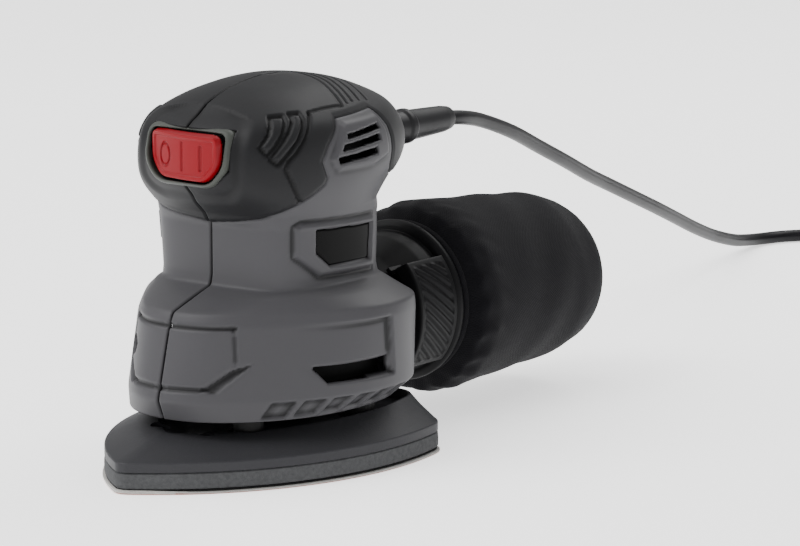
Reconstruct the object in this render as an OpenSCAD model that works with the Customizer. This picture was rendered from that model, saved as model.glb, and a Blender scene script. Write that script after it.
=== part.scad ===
// Palm-grip detail sander with a delta pad, a dust bag and a mains lead.
// X points to the tool's side, Y to its rear, Z up. The origin lies on the sanding face,
// under the motor shaft.

/* [Sanding pad] */
// Length of the delta pad from its tip to its rear edge
pad_l = 140; // [136:1:144]
// Distance from the motor axis to the rear edge of the pad
pad_rear = 52; // [50:1:54]
// Radius of the long curved sides
pad_side_r = 121; // [118:1:124]
// Radius of the rear corners
pad_corner_r = 14; // [10:1:16]
// Radius of the tip
pad_tip_r = 6; // [3:1:8]
// Thickness of the abrasive sheet
sheet_t = 1; // [0.6:0.1:1.5]
// Thickness of the hook layer
hook_t = 1; // [0.5:0.1:1.5]
// Thickness of the foam
foam_t = 6.4; // [5:0.2:8]
// Radius of each dust hole
dust_hole_r = 4; // [3:0.5:4.5]

/* [Housing] */
// Wall thickness of the two housing halves
wall = 2.4; // [2:0.1:3]
// Thickness of the rubber skin over the head
grip_t = 2; // [1.5:0.1:2.5]
// Height at which the rubber skin starts on the front of the neck
lip_z = 98; // [97:0.5:99]
// Shank radius of the housing screws
screw_r = 2; // [1.5:0.1:2.2]

/* [Drive] */
// Distance from the motor axis to the pad bearing's axis
orbit = 1; // [0.8:0.1:1.2]
// Radius of the motor shaft
shaft_r = 4; // [3.5:0.5:4]
// Outer radius of the stator laminations
stator_r = 27; // [25:0.5:27]
// Outer radius of the cooling fan
fan_r = 30; // [26:1:32]

/* [Switch] */
// Half the width of the rocker's flat top edge
rocker_w = 19.6; // [18:0.2:20]
// Angle that the rocker turns between off and on
rocker_throw = 10; // [6:1:10]

/* [Dust collection] */
// Inner radius of the dust port
port_r = 16.5; // [15:0.5:16.5]
// Height of the port's axis
port_z = 49.5; // [49:0.5:50]
// Distance from the motor axis to the closed end of the bag
bag_end = 202; // [190:1:205]

/* [Mains lead] */
// Diameter of the lead
cord_d = 6.2; // [5.8:0.1:6.4]
// Turns side by side in the stored coil
coil_wide = 3; // [2:1:3]
// Layers of turns in the stored coil
coil_high = 2; // [2:1:3]
// Radius of the coil at the middle of its turns
coil_r = 35; // [32:1:37]

/* [Hidden] */
$fn = 64;
eps = 0.05;

// Heights of the pad's layers
hook_z = sheet_t;
foam_z = hook_z + hook_t;
platen_z = foam_z + foam_t;
platen_band = 3.8;
platen_top = 20.6;
hub_r = 17;
hub_top = 27.5;

// Centre of the arc that makes the right-hand side of the pad
side_cx = -63.4;
side_cy = pad_rear - pad_l + pad_tip_r + sqrt(pow(pad_side_r - pad_tip_r, 2) - side_cx * side_cx);
corner_a = asin((pad_rear - pad_corner_r - side_cy) / (pad_side_r - pad_corner_r));

dust_holes = [[12, -50], [30, -18], [37, 0], [22, 36]];
post_spots = [[20, -34], [36, 16]];
post_r = 6;

// Sections of the body, bottom to top: height, centre, roundness, then the distances from the
// centre of the planes that bound the section at the front, the front diagonal, the side, the
// rear diagonal and the rear, and last how far the inner wall's section is shifted up.
SECTIONS = [
    [25, 0, 8, 63, 54, 48, 54, 42, 0],
    [33, 0, 8, 67, 54, 58, 63, 46, 1],
    [62, 0, 8, 59, 50, 59, 64, 45, 0],
    [66.5, 0, 8, 57, 48, 58, 64, 44, -2],
    [71, 0, 7, 43.5, 45, 48, 56, 41, -2],
    [74, 0, 6, 33.5, 45, 38.5, 56, 38, -2],
    [78, 0, 6, 32.5, 46, 37, 58, 37, 0],
    [98, 0, 6, 32.5, 48, 38, 53, 40, 0],
    [104, 0, 5, 36.5, 48, 42, 49, 49, 1.5],
    [111, 5, 5, 50, 58, 43.5, 49, 64, 1.5],
    [117, 12, 5, 64, 64, 44.5, 49, 78, 1],
    [124, 14, 5, 67, 66, 44.5, 50, 80, 0],
    [132, 12, 5, 64.5, 63, 43.5, 49, 78, 0],
    [138.5, 10, 5, 60.5, 57, 41, 45.5, 70, -1.5],
    [143, 8, 4.5, 50.5, 49, 36, 40.5, 57, -2],
    [147, 6, 4, 41, 38, 30, 35, 45, -2.4],
    [150.5, 4, 4, 28, 22, 22, 28, 30, -2.4],
    [152.5, 4, 3.5, 15, 12, 13, 17, 17, -2.4],
    [153.3, 4, 3.5, 4, 4, 4, 5, 5, -2.4]];
// Directions of the bounding planes
front_diagonal = 52;
rear_diagonal = 50;
ring_steps = 18;

// Motor parts along the shaft, bottom to top
ecc_z = 19;
balance_z = 28.5;
fan_z = 40;
plate_z = 55;
plate_r = 35;
low_bearing_z = 58.5;
core_z = 74;
core_h = 24;
comm_z = 108;
top_bearing_z = 126;
bearing_608 = [4, 11, 7];
bearing_607 = [3.5, 9.5, 6];
bearing_6000 = [5, 13, 8];

// Housing screws as [y, z] on the joint face of the two halves, and how far the outer wall is
// from that face there
screw_spots = [[-50, 50, 24], [31, 31.5, 48], [31.2, 76, 32], [-28.5, 107.5, 30], [-20, 138, 35],
    [48, 135, 27]];
boss_r = 3.6;
head_r = 3.4;
head_depth = 9;

// Switch
rocker_z = 127.2;
rocker_top = 10.6;
rocker_face = -52.3;
rocker_pivot = -48.6;
bezel_face = -51.6;
rocker_corner = 8;

// Dust port, collar and bag
port_wall = 2.5;
port_front = 36;
port_back = 66;
collar_front = 52;
collar_back = 88;
collar_fit = 0.08;
bag_wall = 1.2;

// Mains lead
cord_y = 120.6;
cord_z = 122;
coil_x = -15;
coil_y = 540;
coil_w = coil_wide * cord_d;
coil_h = coil_high * cord_d;
plug_x = 35;
plug_y = coil_y + coil_r + (coil_wide - 1) * cord_d / 2;
plug_z = 13;
plug_len = 35;
pin_gap = 19;
pin_r = 2.4;
pin_wall = 18;
cord_in = 52;
clamp_y = 58;
gland_front = 68;
// Centre line of the lead outside the tool: out of the protector, down to the floor and
// round into the coil
CORD_ROUTE = [[0, 118.6, 122], [0, 130, 121], [-4, 150, 117], [-10, 180, 108], [-17, 210, 97],
    [-24, 240, 86], [-32, 270, 75], [-40, 300, 65], [-48, 330, 55], [-56, 360, 45],
    [-65, 390, 35], [-74, 420, 25], [-83, 450, 16], [-91, 480, 8.5], [-96, 500, 5],
    [-97, 515, 3.4], [-92, 530, 3.2], [-81, 543, 3.2], [-67, 553.5, 3.2], [-53, 563.5, 3.2],
    [-39, 573.4, 3.1]];
// From the top of the coil into the plug's strain relief
PLUG_ROUTE = [[coil_x, plug_y, 9.3], [coil_x + 6, plug_y, 9.6], [coil_x + 13, plug_y, 11.15],
    [coil_x + 20, plug_y, 12.7], [plug_x - 24, plug_y, plug_z]];

body_grey = [0.36, 0.36, 0.38];
rubber_black = [0.2, 0.2, 0.21];
steel = [0.7, 0.7, 0.72];
copper = [0.75, 0.42, 0.22];

// ---------- outlines ----------

function arc(cx, cy, r, a0, a1, n) =
    [for (i = [0:n]) let (a = a0 + (a1 - a0) * i / n) [cx + r * cos(a), cy + r * sin(a)]];

// Right-hand half of the pad's outline, moved in by d
function pad_half(d) =
    let (tip_y = side_cy - sqrt(pow(pad_side_r - pad_tip_r, 2) - side_cx * side_cx),
        meet_a = -acos(-side_cx / (pad_side_r - pad_tip_r)),
        corner_x = side_cx + (pad_side_r - pad_corner_r) * cos(corner_a),
        corner_y = side_cy + (pad_side_r - pad_corner_r) * sin(corner_a))
    concat(arc(0, tip_y, pad_tip_r - d, -90, meet_a, 4),
        arc(side_cx, side_cy, pad_side_r - d, meet_a, corner_a, 24),
        arc(corner_x, corner_y, pad_corner_r - d, corner_a, 90, 8));

function mirrored(pts) = [for (i = [len(pts) - 1:-1:0]) [-pts[i][0], pts[i][1]]];

function pad_outline(d) = concat(pad_half(d), mirrored(pad_half(d)));

// ---------- body sections ----------

// A plane is never nearer than 3 mm, so that the small rings at the crown stay open
function plane_term(a, at, dist, p) = pow(max(0, cos(a - at)) / max(dist, 3), p);

function section_radius(a, s, inset) =
    pow(plane_term(a, -90, s[3] - inset, s[2])
        + plane_term(a, -90 + front_diagonal, s[4] - inset, s[2])
        + plane_term(a, 0, s[5] - inset, s[2])
        + plane_term(a, 90 - rear_diagonal, s[6] - inset, s[2])
        + plane_term(a, 90, s[7] - inset, s[2])
        + plane_term(a, -90 - front_diagonal, s[4] - inset, s[2])
        + plane_term(a, 90 + rear_diagonal, s[6] - inset, s[2]), -1 / s[2]);

// Half of a section, front to rear on the +X side, moved in by inset
function half_ring(s, inset, lift) =
    [for (i = [0:ring_steps]) let (a = -90 + 180 * i / ring_steps, r = section_radius(a, s, inset))
        [r * cos(a), s[1] + r * sin(a), s[0] + lift]];

function column(k) = [for (s = SECTIONS) [s[0], s[k]]];

// The section at any height, between two of the listed ones
function section_at(z) = [for (k = [0:8]) k == 0 ? z : lookup(z, column(k))];

function flat(ring) = [for (p = ring) [p[0], p[1]]];

// ---------- skins ----------

function joined(rings) = [for (r = rings) each r];

// Side triangles of a stack of n-point rings, the first ring's first point at index b
function side_faces(n, rings, b, wrap, inward) =
    [for (k = [0:rings - 2], i = [0:wrap ? n - 1 : n - 2])
        let (j = (i + 1) % n, p = b + k * n + i, q = b + k * n + j)
        each inward ? [[p, q + n, p + n], [p, q, q + n]] : [[p, p + n, q + n], [p, q + n, q]]];

// A wall between an outer and an inner stack of as many rings, open at the first ring. A stack
// of half rings also gets the face on the joint plane.
module shell(outer, inner, wrap) {
    n = len(outer[0]);
    k = len(outer);
    b = k * n;
    mouth = [for (i = [0:wrap ? n - 1 : n - 2]) let (j = (i + 1) % n)
        each [[i, j, b + j], [i, b + j, b + i]]];
    seam = wrap ? [] : concat(
        [for (i = [0:k - 2]) let (p = i * n, q = p + n) each [[p, b + p, b + q], [p, b + q, q]]],
        [for (i = [0:k - 2]) let (p = i * n + n - 1, q = p + n) each [[p, q, b + q], [p, b + q, b + p]]],
        [[b - n, 2 * b - n, 2 * b - 1], [b - n, 2 * b - 1, b - 1]]);
    polyhedron(joined(concat(outer, inner)), concat(
        side_faces(n, k, 0, wrap, false), side_faces(n, k, b, wrap, true), mouth, seam,
        [[for (i = [n - 1:-1:0]) b - n + i]], [[for (i = [0:n - 1]) 2 * b - n + i]]));
}

// A round rod of radius r along a path of points
module rod(path, r, sides) {
    count = len(path);
    function heading(i) = path[min(i + 1, count - 1)] - path[max(i - 1, 0)];
    rings = [for (i = [0:count - 1]) let (d = heading(i) / norm(heading(i)),
            u = cross(d, [0, 0, 1]) / norm(cross(d, [0, 0, 1])), v = cross(u, d))
        [for (j = [0:sides - 1]) path[i] + r * (cos(360 * j / sides) * u + sin(360 * j / sides) * v)]];
    polyhedron(joined(rings), concat(side_faces(sides, count, 0, true, true),
        [[for (j = [0:sides - 1]) j]], [[for (j = [sides - 1:-1:0]) (count - 1) * sides + j]]));
}

// Points between the route's own, on a smooth curve through them
function blend_point(a, b, c, d, t) =
    0.5 * ((2 * b) + (c - a) * t + (2 * a - 5 * b + 4 * c - d) * t * t
        + (3 * b - a - 3 * c + d) * t * t * t);

function smooth_path(pts, steps) = let (n = len(pts))
    [for (i = [0:n - 2], k = [0:steps - 1])
        blend_point(pts[max(i - 1, 0)], pts[i], pts[i + 1], pts[min(i + 2, n - 1)], k / steps),
    pts[n - 1]];

module ring(r_in, r_out, h) {
    difference() {
        cylinder(r = r_out, h = h);
        translate([0, 0, -1]) cylinder(r = r_in, h = h + 2);
    }
}

module along_x(x, y, z) { translate([x, y, z]) rotate([0, 90, 0]) children(); }

module along_y(x, y, z) { translate([x, y, z]) rotate([-90, 0, 0]) children(); }

module both_sides() {
    children();
    mirror([1, 0, 0]) children();
}

// ---------- housing ----------

vent_panel = [[-3, 139], [24, 140.2], [32, 132.5], [32.4, 129.2], [28.4, 124], [32, 117], [30, 114],
    [-10, 114], [-13.4, 124.5]];
label_outline = [[-11.5, 97.5], [23, 95.7], [21, 79.6], [-4, 80.6], [-12.5, 88]];
label_frame = [[-27, 95], [-21, 101], [26.5, 99], [24.5, 76], [-10, 77.5]];
skirt_slot = [[-25, 45.2], [10, 45.4], [10, 39.4], [-20, 38.8]];
label_x = 36.8;

// A flat plate across the inside of a half at height z, with a round seat of radius r in it
module inner_rib(z, t, r, inset) {
    difference() {
        translate([0, 0, z]) linear_extrude(t) polygon(flat(half_ring(section_at(z), inset, 0)));
        translate([0, 0, z - 1]) cylinder(r = r, h = t + 2);
    }
}

// A profile drawn as [y, z] and given a thickness along X
module side_plate(profile, x, t) {
    translate([x, 0, 0]) rotate([90, 0, 90]) linear_extrude(t) polygon(profile);
}

// Rings of a half: moved in by low below the rubber skin's lip, and by high inside the skin,
// with a flat step between the two
function half_rings(low, high) = [
    for (s = SECTIONS) if (s[0] < lip_z) half_ring(s, low, s[8] * low / wall),
    half_ring(section_at(lip_z), low, -low),
    half_ring(section_at(lip_z), high, -low),
    for (s = SECTIONS) if (s[0] > lip_z) half_ring(s, high, s[8] * high / wall)];

// Everything inside the middle of the wall, which keeps the posts and seats within it
module half_core() {
    rings = half_rings(wall / 2, grip_t + wall / 2);
    n = len(rings[0]);
    k = len(rings);
    polyhedron(joined(rings), concat(side_faces(n, k, 0, false, false),
        [for (i = [0:k - 2]) let (p = i * n, q = p + n) each [[p, q - 1, q + n - 1], [p, q + n - 1, q]]],
        [[for (i = [0:n - 1]) i]], [[for (i = [n - 1:-1:0]) (k - 1) * n + i]]));
}

module half_shell() { shell(half_rings(0, grip_t + eps), half_rings(wall, grip_t + wall), false); }

// Seat of the upper bearing, on a web from the side wall
module bearing_seat() {
    difference() {
        union() {
            cylinder(r = bearing_607[1] + 3.5, h = 7);
            translate([0, -2, 0]) cube([41, 4, 7]);
        }
        translate([0, 0, -1]) cylinder(r = bearing_607[1] + eps, h = 9);
        translate([-20, -20, -1]) cube([20, 40, 9]);
    }
}

// Post round a housing screw: a stem from the joint face and a wider cup at the outer wall
module screw_post(s) {
    along_x(0.02, s[0], s[1]) cylinder(r = boss_r, h = s[2] - 1.5);
    along_x(s[2] - head_depth - 2, s[0], s[1]) cylinder(r = head_r + 2, h = head_depth);
}

module louvre(dy, dz) {
    translate([30, dy - 5.8, 122.5 + dz]) rotate([5, 0, 0]) cube([20, 24, 2.6]);
}

// The +X half, without the screw holes, which differ on the two halves
module plain_half() {
    difference() {
        union() {
            half_shell();
            inner_rib(plate_z - 2, 1.9, plate_r - 2, 1.2);
            inner_rib(plate_z + 3.1, 2, plate_r - 2, 1.2);
            inner_rib(78, 2, stator_r + eps, 1.2);
            inner_rib(94, 2, stator_r + eps, 1.2);
            translate([0, 0, top_bearing_z - 1]) bearing_seat();
            side_plate(vent_panel, 33, 7.5);
            side_plate(label_frame, 34.4, 3.6);
            intersection() {
                half_core();
                union() {
                    translate([0.02, clamp_y, cord_z - 10]) cube([11, 7, 7.4]);
                    for (s = screw_spots) screw_post(s);
                }
            }
            for (p = post_spots) translate([p[0], p[1], 44]) cylinder(r = post_r + 2, h = 9.5);
            along_y(0, gland_front, cord_z) intersection() {
                cylinder(r = 11, h = 16);
                translate([0, -20, 0]) cube([20, 40, 20]);
            }
        }
        // air outlet, louvres, dust port, switch and lead openings
        side_plate(skirt_slot, 39.5, 20);
        for (k = [0:2]) louvre(2.8 * k, 4.5 * k);
        along_y(0, 38.6, port_z) cylinder(r = port_r + port_wall + eps, h = 20);
        along_y(0, 36 - eps, port_z) cylinder(r = port_r + port_wall + 4 + eps, h = 2.6);
        along_y(0, gland_front, cord_z) cylinder(r = 6.7, h = 40);
        along_y(0, gland_front, cord_z) cylinder(r = 9.1, h = 5.1);
        along_y(0, clamp_y - 1, cord_z) cylinder(r = cord_d / 2 + eps, h = 12);
        translate([8, clamp_y + 3.5, cord_z - 9]) cylinder(r = 1, h = 12, $fn = 24);
        translate([-1, -60, rocker_z - 14]) cube([25.5, 19, 28.4]);
        side_plate(label_outline, label_x - 0.4, 5);
        for (p = post_spots) translate([p[0], p[1], 40]) cylinder(r = post_r + eps, h = 10);
    }
}

module right_housing() {
    color(body_grey) difference() {
        plain_half();
        for (s = screw_spots) along_x(-1, s[0], s[1]) cylinder(r = screw_r - 0.2, h = 17, $fn = 32);
    }
}

module left_housing() {
    color(body_grey) difference() {
        mirror([1, 0, 0]) plain_half();
        for (s = screw_spots) {
            along_x(-s[2], s[0], s[1]) cylinder(r = screw_r + 0.2, h = s[2] + 1, $fn = 32);
            along_x(-80, s[0], s[1]) cylinder(r = head_r + 0.3, h = 80 - s[2] + head_depth, $fn = 32);
        }
    }
}

// One screw: head against the seat in the left half, thread in the right half
module housing_screws() {
    color(steel) for (s = screw_spots) {
        seat = head_depth - s[2];
        along_x(seat - 2.6, s[0], s[1]) difference() {
            cylinder(r = head_r, h = 2.6, $fn = 32);
            translate([0, 0, -1]) cylinder(r = 1.6, h = 2.4, $fn = 6);
        }
        along_x(seat, s[0], s[1]) cylinder(r = screw_r - 0.25, h = 13 - seat, $fn = 32);
    }
}

// Rubber skin over one side of the head, open where the grey vent panel shows
grip_window = [[-50, lip_z - 2], [-32, 100], [-22, 108], [-14, 115], [-14, 124.5], [-3.5, 139.8],
    [24.3, 140.9], [32.7, 132.9], [33.1, 129], [29.2, 124], [33, 116.5], [33, 110], [90, 106],
    [90, 80], [-50, 80]];

module plain_grip() {
    rows = [for (s = SECTIONS) if (s[0] >= lip_z) s];
    difference() {
        shell([for (s = rows) half_ring(s, 0, 0)],
            [for (s = rows) half_ring(s, grip_t, s[8] * grip_t / wall)], false);
        side_plate(grip_window, 20, 40);
        translate([-1, -60, rocker_z - 14]) cube([25.5, 19, 28.4]);
        along_y(0, 60, cord_z) cylinder(r = 11 + eps, h = 40);
    }
}

module right_grip() { color(rubber_black) plain_grip(); }

module left_grip() {
    color(rubber_black) difference() {
        mirror([1, 0, 0]) plain_grip();
        for (s = screw_spots) along_x(-80, s[0], s[1]) cylinder(r = head_r + 0.3, h = 75, $fn = 32);
    }
}

module left_label() { color("black") mirror([1, 0, 0]) side_plate(label_outline, label_x - 0.3, 1); }

module right_label() { color("black") side_plate(label_outline, label_x - 0.3, 1); }

// ---------- switch ----------

// The rocker's outline as [x, z], grown by d: a flat top and two slanting lower corners
function rocker_outline(d) =
    let (w = rocker_w + d, t = rocker_top + d, c = rocker_corner)
    [[-w, rocker_z + t], [-w, rocker_z - t + c], [-w + c, rocker_z - t], [w - c, rocker_z - t],
        [w, rocker_z - t + c], [w, rocker_z + t]];

module front_plate(profile, y, t) {
    translate([0, y + t, 0]) rotate([90, 0, 0]) linear_extrude(t) polygon(profile);
}

module switch_bezel() {
    color(body_grey) difference() {
        front_plate(rocker_outline(3.4), bezel_face, 9);
        front_plate(rocker_outline(0.9), bezel_face - 1, 12);
        translate([0, rocker_pivot, rocker_z - rocker_top - 2.4])
            cylinder(r = 1.3, h = 2 * rocker_top + 4.8, $fn = 32);
    }
}

// The cap on its pivot pin, at rest with its left half pressed in
module rocker_cap() {
    color("firebrick") translate([0, rocker_pivot, 0]) rotate([0, 0, -rocker_throw / 2])
        translate([0, -rocker_pivot, 0]) {
            difference() {
                front_plate(rocker_outline(0), rocker_face, 6);
                translate([-12, rocker_face - 1, rocker_z - 5]) cube([6, 1.8, 10]);
                translate([8, rocker_face - 1, rocker_z - 5]) cube([2, 1.8, 10]);
                translate([-0.8, rocker_face - 1, rocker_z - 7]) cube([1.6, 1.6, 14]);
            }
            translate([0, rocker_pivot, rocker_z - rocker_top - 2])
                cylinder(r = 1.25, h = 2 * rocker_top + 4, $fn = 32);
            translate([-2, rocker_face + 5, rocker_z - 4]) cube([4, 5.4, 8]);
        }
}

module switch_body() {
    color([0.15, 0.15, 0.16]) difference() {
        translate([-12, -43, rocker_z - 9]) cube([24, 17, 18]);
        translate([-5, -44, rocker_z - 5.5]) cube([10, 5, 11]);
    }
    color("gold") for (x = [-7, 7]) translate([x - 2.4, -27, rocker_z - 0.4]) cube([4.8, 8, 0.8]);
}

// ---------- lead inside the tool ----------

module cord_protector() {
    color([0.12, 0.12, 0.12]) difference() {
        along_y(0, 0, cord_z) rotate_extrude() polygon([[cord_d / 2, 70], [9, 70], [9, 73],
            [6.65, 73], [6.65, 90], [6.3, 104], [5.6, 117], [5, cord_y], [cord_d / 2, cord_y]]);
        for (k = [0:4]) translate([-10, 92 + 5 * k, cord_z - 12]) cube([20, 1.6, 6.6]);
    }
}

module cord_clamp() {
    color(rubber_black) difference() {
        translate([-11, clamp_y, cord_z + 1]) cube([22, 7, 6]);
        along_y(0, clamp_y - 1, cord_z) cylinder(r = cord_d / 2, h = 9);
        for (x = [-8, 8]) translate([x, clamp_y + 3.5, cord_z]) cylinder(r = 1.3, h = 8, $fn = 24);
    }
}

module clamp_screws() {
    color(steel) for (x = [-8, 8]) translate([x, clamp_y + 3.5, 0]) {
        translate([0, 0, cord_z + 7]) cylinder(r = 2.6, h = 2, $fn = 24);
        translate([0, 0, cord_z - 7]) cylinder(r = 0.95, h = 14, $fn = 24);
    }
}

module cord_tail() {
    color([0.1, 0.1, 0.1]) along_y(0, cord_in, cord_z) cylinder(r = cord_d / 2, h = 118.6 - cord_in);
}

module power_cord() {
    color([0.1, 0.1, 0.1]) {
        rod(smooth_path(CORD_ROUTE, 3), cord_d / 2, 10);
        rod(smooth_path(PLUG_ROUTE, 2), cord_d / 2, 10);
    }
}

module cord_coil() {
    color([0.12, 0.12, 0.12]) translate([coil_x, coil_y, 0]) rotate_extrude()
        translate([coil_r - coil_w / 2, 0]) square([coil_w, coil_h]);
}

module cord_tie() {
    color([0.05, 0.05, 0.05]) translate([coil_x - 5, coil_y + coil_r - coil_w / 2 - 1, 0])
        difference() {
            cube([10, coil_w + 2, coil_h + 1]);
            translate([-1, 1, -1]) cube([12, coil_w, coil_h + 1]);
        }
}

// Places what is drawn with its pins along -Z so that the pins point along +X
module plug_place() { translate([plug_x, plug_y, plug_z]) rotate([0, -90, 0]) children(); }

// Two-pin plug lying on its flat side, beside the coil
module plug_body() {
    color([0.1, 0.1, 0.1]) plug_place() {
        translate([0, 0, -plug_len]) hull() {
            linear_extrude(14) offset(6, $fn = 32) square([14, 24], center = true);
            translate([0, 0, plug_len]) cylinder(r = 6.5, h = 1, $fn = 32);
        }
        difference() {
            cylinder(r1 = 6.4, r2 = 4.4, h = 24);
            translate([0, 0, 4]) cylinder(r = cord_d / 2, h = 30);
        }
    }
}

// Each pin has a thinner root, held in the plug
module plug_pins() {
    color(steel) plug_place() for (y = [-pin_gap / 2, pin_gap / 2]) translate([0, y, -plug_len]) {
        translate([0, 0, -0.15]) cylinder(r = pin_r - 0.4, h = 8);
        translate([0, 0, -0.15 - pin_wall]) cylinder(r = pin_r, h = pin_wall);
        translate([0, 0, -1.15 - pin_wall]) cylinder(r1 = pin_r - 1, r2 = pin_r, h = 1);
    }
}

module capacitor() {
    color("khaki") translate([-9, 22, 135.2]) cube([18, 12, 8]);
}

// ---------- motor ----------

module stator_core() {
    color([0.45, 0.46, 0.48]) translate([0, 0, core_z]) difference() {
        cylinder(r = stator_r, h = core_h);
        translate([0, 0, -1]) cylinder(r = 15.5, h = core_h + 2);
        for (a = [0, 180]) rotate([0, 0, a]) translate([17, -7, -1]) cube([6, 14, core_h + 2]);
    }
}

// End turns of the two field windings, and the sides that pass through the core
module field_coils() {
    color(copper) {
        for (z = [core_z - 5, core_z + core_h]) translate([0, 0, z]) ring(16.5, 24, 5);
        for (a = [0, 180]) rotate([0, 0, a]) translate([17.6, -6, core_z - 1])
            cube([4.8, 12, core_h + 2]);
    }
}

module armature_core() {
    color(steel) translate([0, 0, core_z]) difference() {
        cylinder(r = 15, h = core_h);
        translate([0, 0, -1]) cylinder(r = shaft_r, h = core_h + 2);
        for (a = [0:30:330]) rotate([0, 0, a]) translate([11.5, -1.2, -1]) cube([5, 2.4, core_h + 2]);
    }
}

module armature_winding() {
    color(copper) difference() {
        union() {
            translate([0, 0, core_z - 6]) cylinder(r1 = 11, r2 = 14, h = 6);
            translate([0, 0, core_z + core_h]) cylinder(r1 = 14, r2 = 10, h = 9);
        }
        translate([0, 0, core_z - 7]) cylinder(r = shaft_r, h = core_h + 20);
    }
}

module motor_shaft() {
    color(steel) {
        translate([0, 0, balance_z + 1.5]) cylinder(r = shaft_r, h = top_bearing_z - 0.5 - balance_z - 1.5);
        translate([0, 0, top_bearing_z - 0.5]) cylinder(r = bearing_607[0], h = 7.5);
    }
}

module commutator() {
    color(copper) translate([0, 0, comm_z]) difference() {
        union() {
            cylinder(r = 11, h = 14);
            cylinder(r = 12.4, h = 2);
        }
        translate([0, 0, -1]) cylinder(r = shaft_r, h = 16);
        for (a = [0:15:345]) rotate([0, 0, a]) translate([10.4, -0.25, 2.4]) cube([2, 0.5, 20]);
    }
}

module cooling_fan() {
    color([0.12, 0.12, 0.12]) translate([0, 0, fan_z]) difference() {
        union() {
            cylinder(r = 8, h = 12);
            translate([0, 0, 4]) cylinder(r = fan_r, h = 1.6);
            for (a = [0:36:324]) rotate([0, 0, a]) {
                translate([7, -0.8, 5]) cube([fan_r - 7.6, 1.6, 7]);
                translate([12, -0.8, 0]) cube([fan_r - 12.6, 1.6, 5]);
            }
        }
        translate([0, 0, -1]) cylinder(r = shaft_r, h = 14);
    }
}

// A shielded ball bearing, size = [bore radius, outer radius, width]: the shields lie a little
// below the faces of the races
module ball_bearing(size) {
    race = (size[1] - size[0]) * 0.28;
    difference() {
        cylinder(r = size[1], h = size[2]);
        translate([0, 0, -1]) cylinder(r = size[0], h = size[2] + 2);
        for (z = [-1, size[2] - 0.4]) translate([0, 0, z])
            ring(size[0] + race, size[1] - race, 1.4);
    }
}

module upper_bearing() { color(steel) translate([0, 0, top_bearing_z]) ball_bearing(bearing_607); }

module lower_bearing() { color(steel) translate([0, 0, low_bearing_z]) ball_bearing(bearing_608); }

module pad_bearing() { color(steel) translate([orbit, 0, ecc_z]) ball_bearing(bearing_6000); }

// Seat of the lower bearing and the wall between the fan chamber and the motor
module bearing_plate() {
    color([0.2, 0.2, 0.2]) translate([0, 0, plate_z]) difference() {
        union() {
            cylinder(r = plate_r, h = 3);
            cylinder(r = 14, h = 11);
        }
        translate([0, 0, -1]) cylinder(r = 7, h = 8);
        translate([0, 0, 3.5]) cylinder(r = bearing_608[1], h = 8);
        for (a = [0:45:315]) rotate([0, 0, a + 22.5]) translate([21, 0, -1])
            cylinder(r = 4, h = 5);
    }
}

// Counterweight pressed on the shaft's lower end, with the pin that carries the pad's bearing
module eccentric_balancer() {
    color([0.6, 0.6, 0.58]) difference() {
        union() {
            translate([orbit, 0, ecc_z]) cylinder(r = bearing_6000[0], h = balance_z - ecc_z);
            translate([0, 0, balance_z]) cylinder(r = 10, h = 10);
            translate([0, 0, balance_z + 1]) intersection() {
                cylinder(r = 23, h = 8);
                translate([-30, -30, -1]) cube([30, 60, 10]);
            }
        }
        translate([0, 0, balance_z + 1.5]) cylinder(r = shaft_r, h = 20);
        translate([orbit, 0, ecc_z - 1]) cylinder(r = 2, h = 9, $fn = 32);
    }
}

module pad_screw() {
    color(steel) translate([orbit, 0, 0]) {
        translate([0, 0, ecc_z - 1.5]) ring(2.05, 7, 1.5);
        translate([0, 0, ecc_z - 4.5]) difference() {
            cylinder(r = 4.4, h = 3);
            translate([0, 0, -1]) cylinder(r = 2.2, h = 3, $fn = 6);
        }
        translate([0, 0, ecc_z - 1.5]) cylinder(r = 2, h = 9, $fn = 32);
    }
}

brush_z = comm_z + 5;

module brush_holders() {
    color([0.72, 0.55, 0.2]) both_sides() difference() {
        translate([13.5, -4, brush_z - 3.6]) cube([19.1, 8, 9.4]);
        translate([12.5, -2.9, brush_z - 2.4]) cube([19.3, 5.8, 7]);
    }
}

module carbon_brushes() {
    color([0.2, 0.2, 0.2]) both_sides() translate([11.1, -2.8, brush_z - 2.3]) cube([13, 5.6, 6.8]);
}

// Round-wire springs that press the brushes on the commutator
module brush_springs() {
    color(steel) both_sides() rod([for (i = [0:40]) let (a = 36 * i)
        [24.7 + 6.6 * i / 40, 2 * sin(a), brush_z + 1.1 + 2 * cos(a)]], 0.35, 6);
}

// ---------- pad ----------

module rubber_posts() {
    color([0.15, 0.15, 0.15]) both_sides() for (p = post_spots) translate([p[0], p[1], 0]) {
        translate([0, 0, 15]) cylinder(r = post_r, h = 35);
    }
}

module holes_down(z, h) {
    both_sides() for (p = dust_holes) translate([p[0], p[1], z]) cylinder(r = dust_hole_r, h = h);
}

module pad_layer(z, t, d) { translate([0, 0, z]) linear_extrude(t) polygon(pad_outline(d)); }

// The upper face is the pad's outline drawn in towards a point ahead of the rear edge
module platen() {
    shrink = 0.785;
    toward = 33.5;
    color([0.18, 0.18, 0.19]) difference() {
        union() {
            pad_layer(platen_z, platen_band, 0.3);
            hull() {
                pad_layer(platen_z + platen_band - 0.1, 0.1, 0.3);
                translate([0, toward, platen_top]) rotate([2, 0, 0]) linear_extrude(0.1)
                    scale([shrink, shrink]) translate([0, -toward]) polygon(pad_outline(0.3));
            }
            translate([orbit, 0, platen_z]) cylinder(r = hub_r, h = hub_top - platen_z);
        }
        translate([orbit, 0, ecc_z]) cylinder(r = bearing_6000[1], h = 20);
        translate([orbit, 0, 0]) cylinder(r = 9, h = 30);
        both_sides() for (p = post_spots) translate([p[0], p[1], 14.5]) cylinder(r = post_r + 1.4, h = 20);
        holes_down(0, 40);
    }
}

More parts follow.
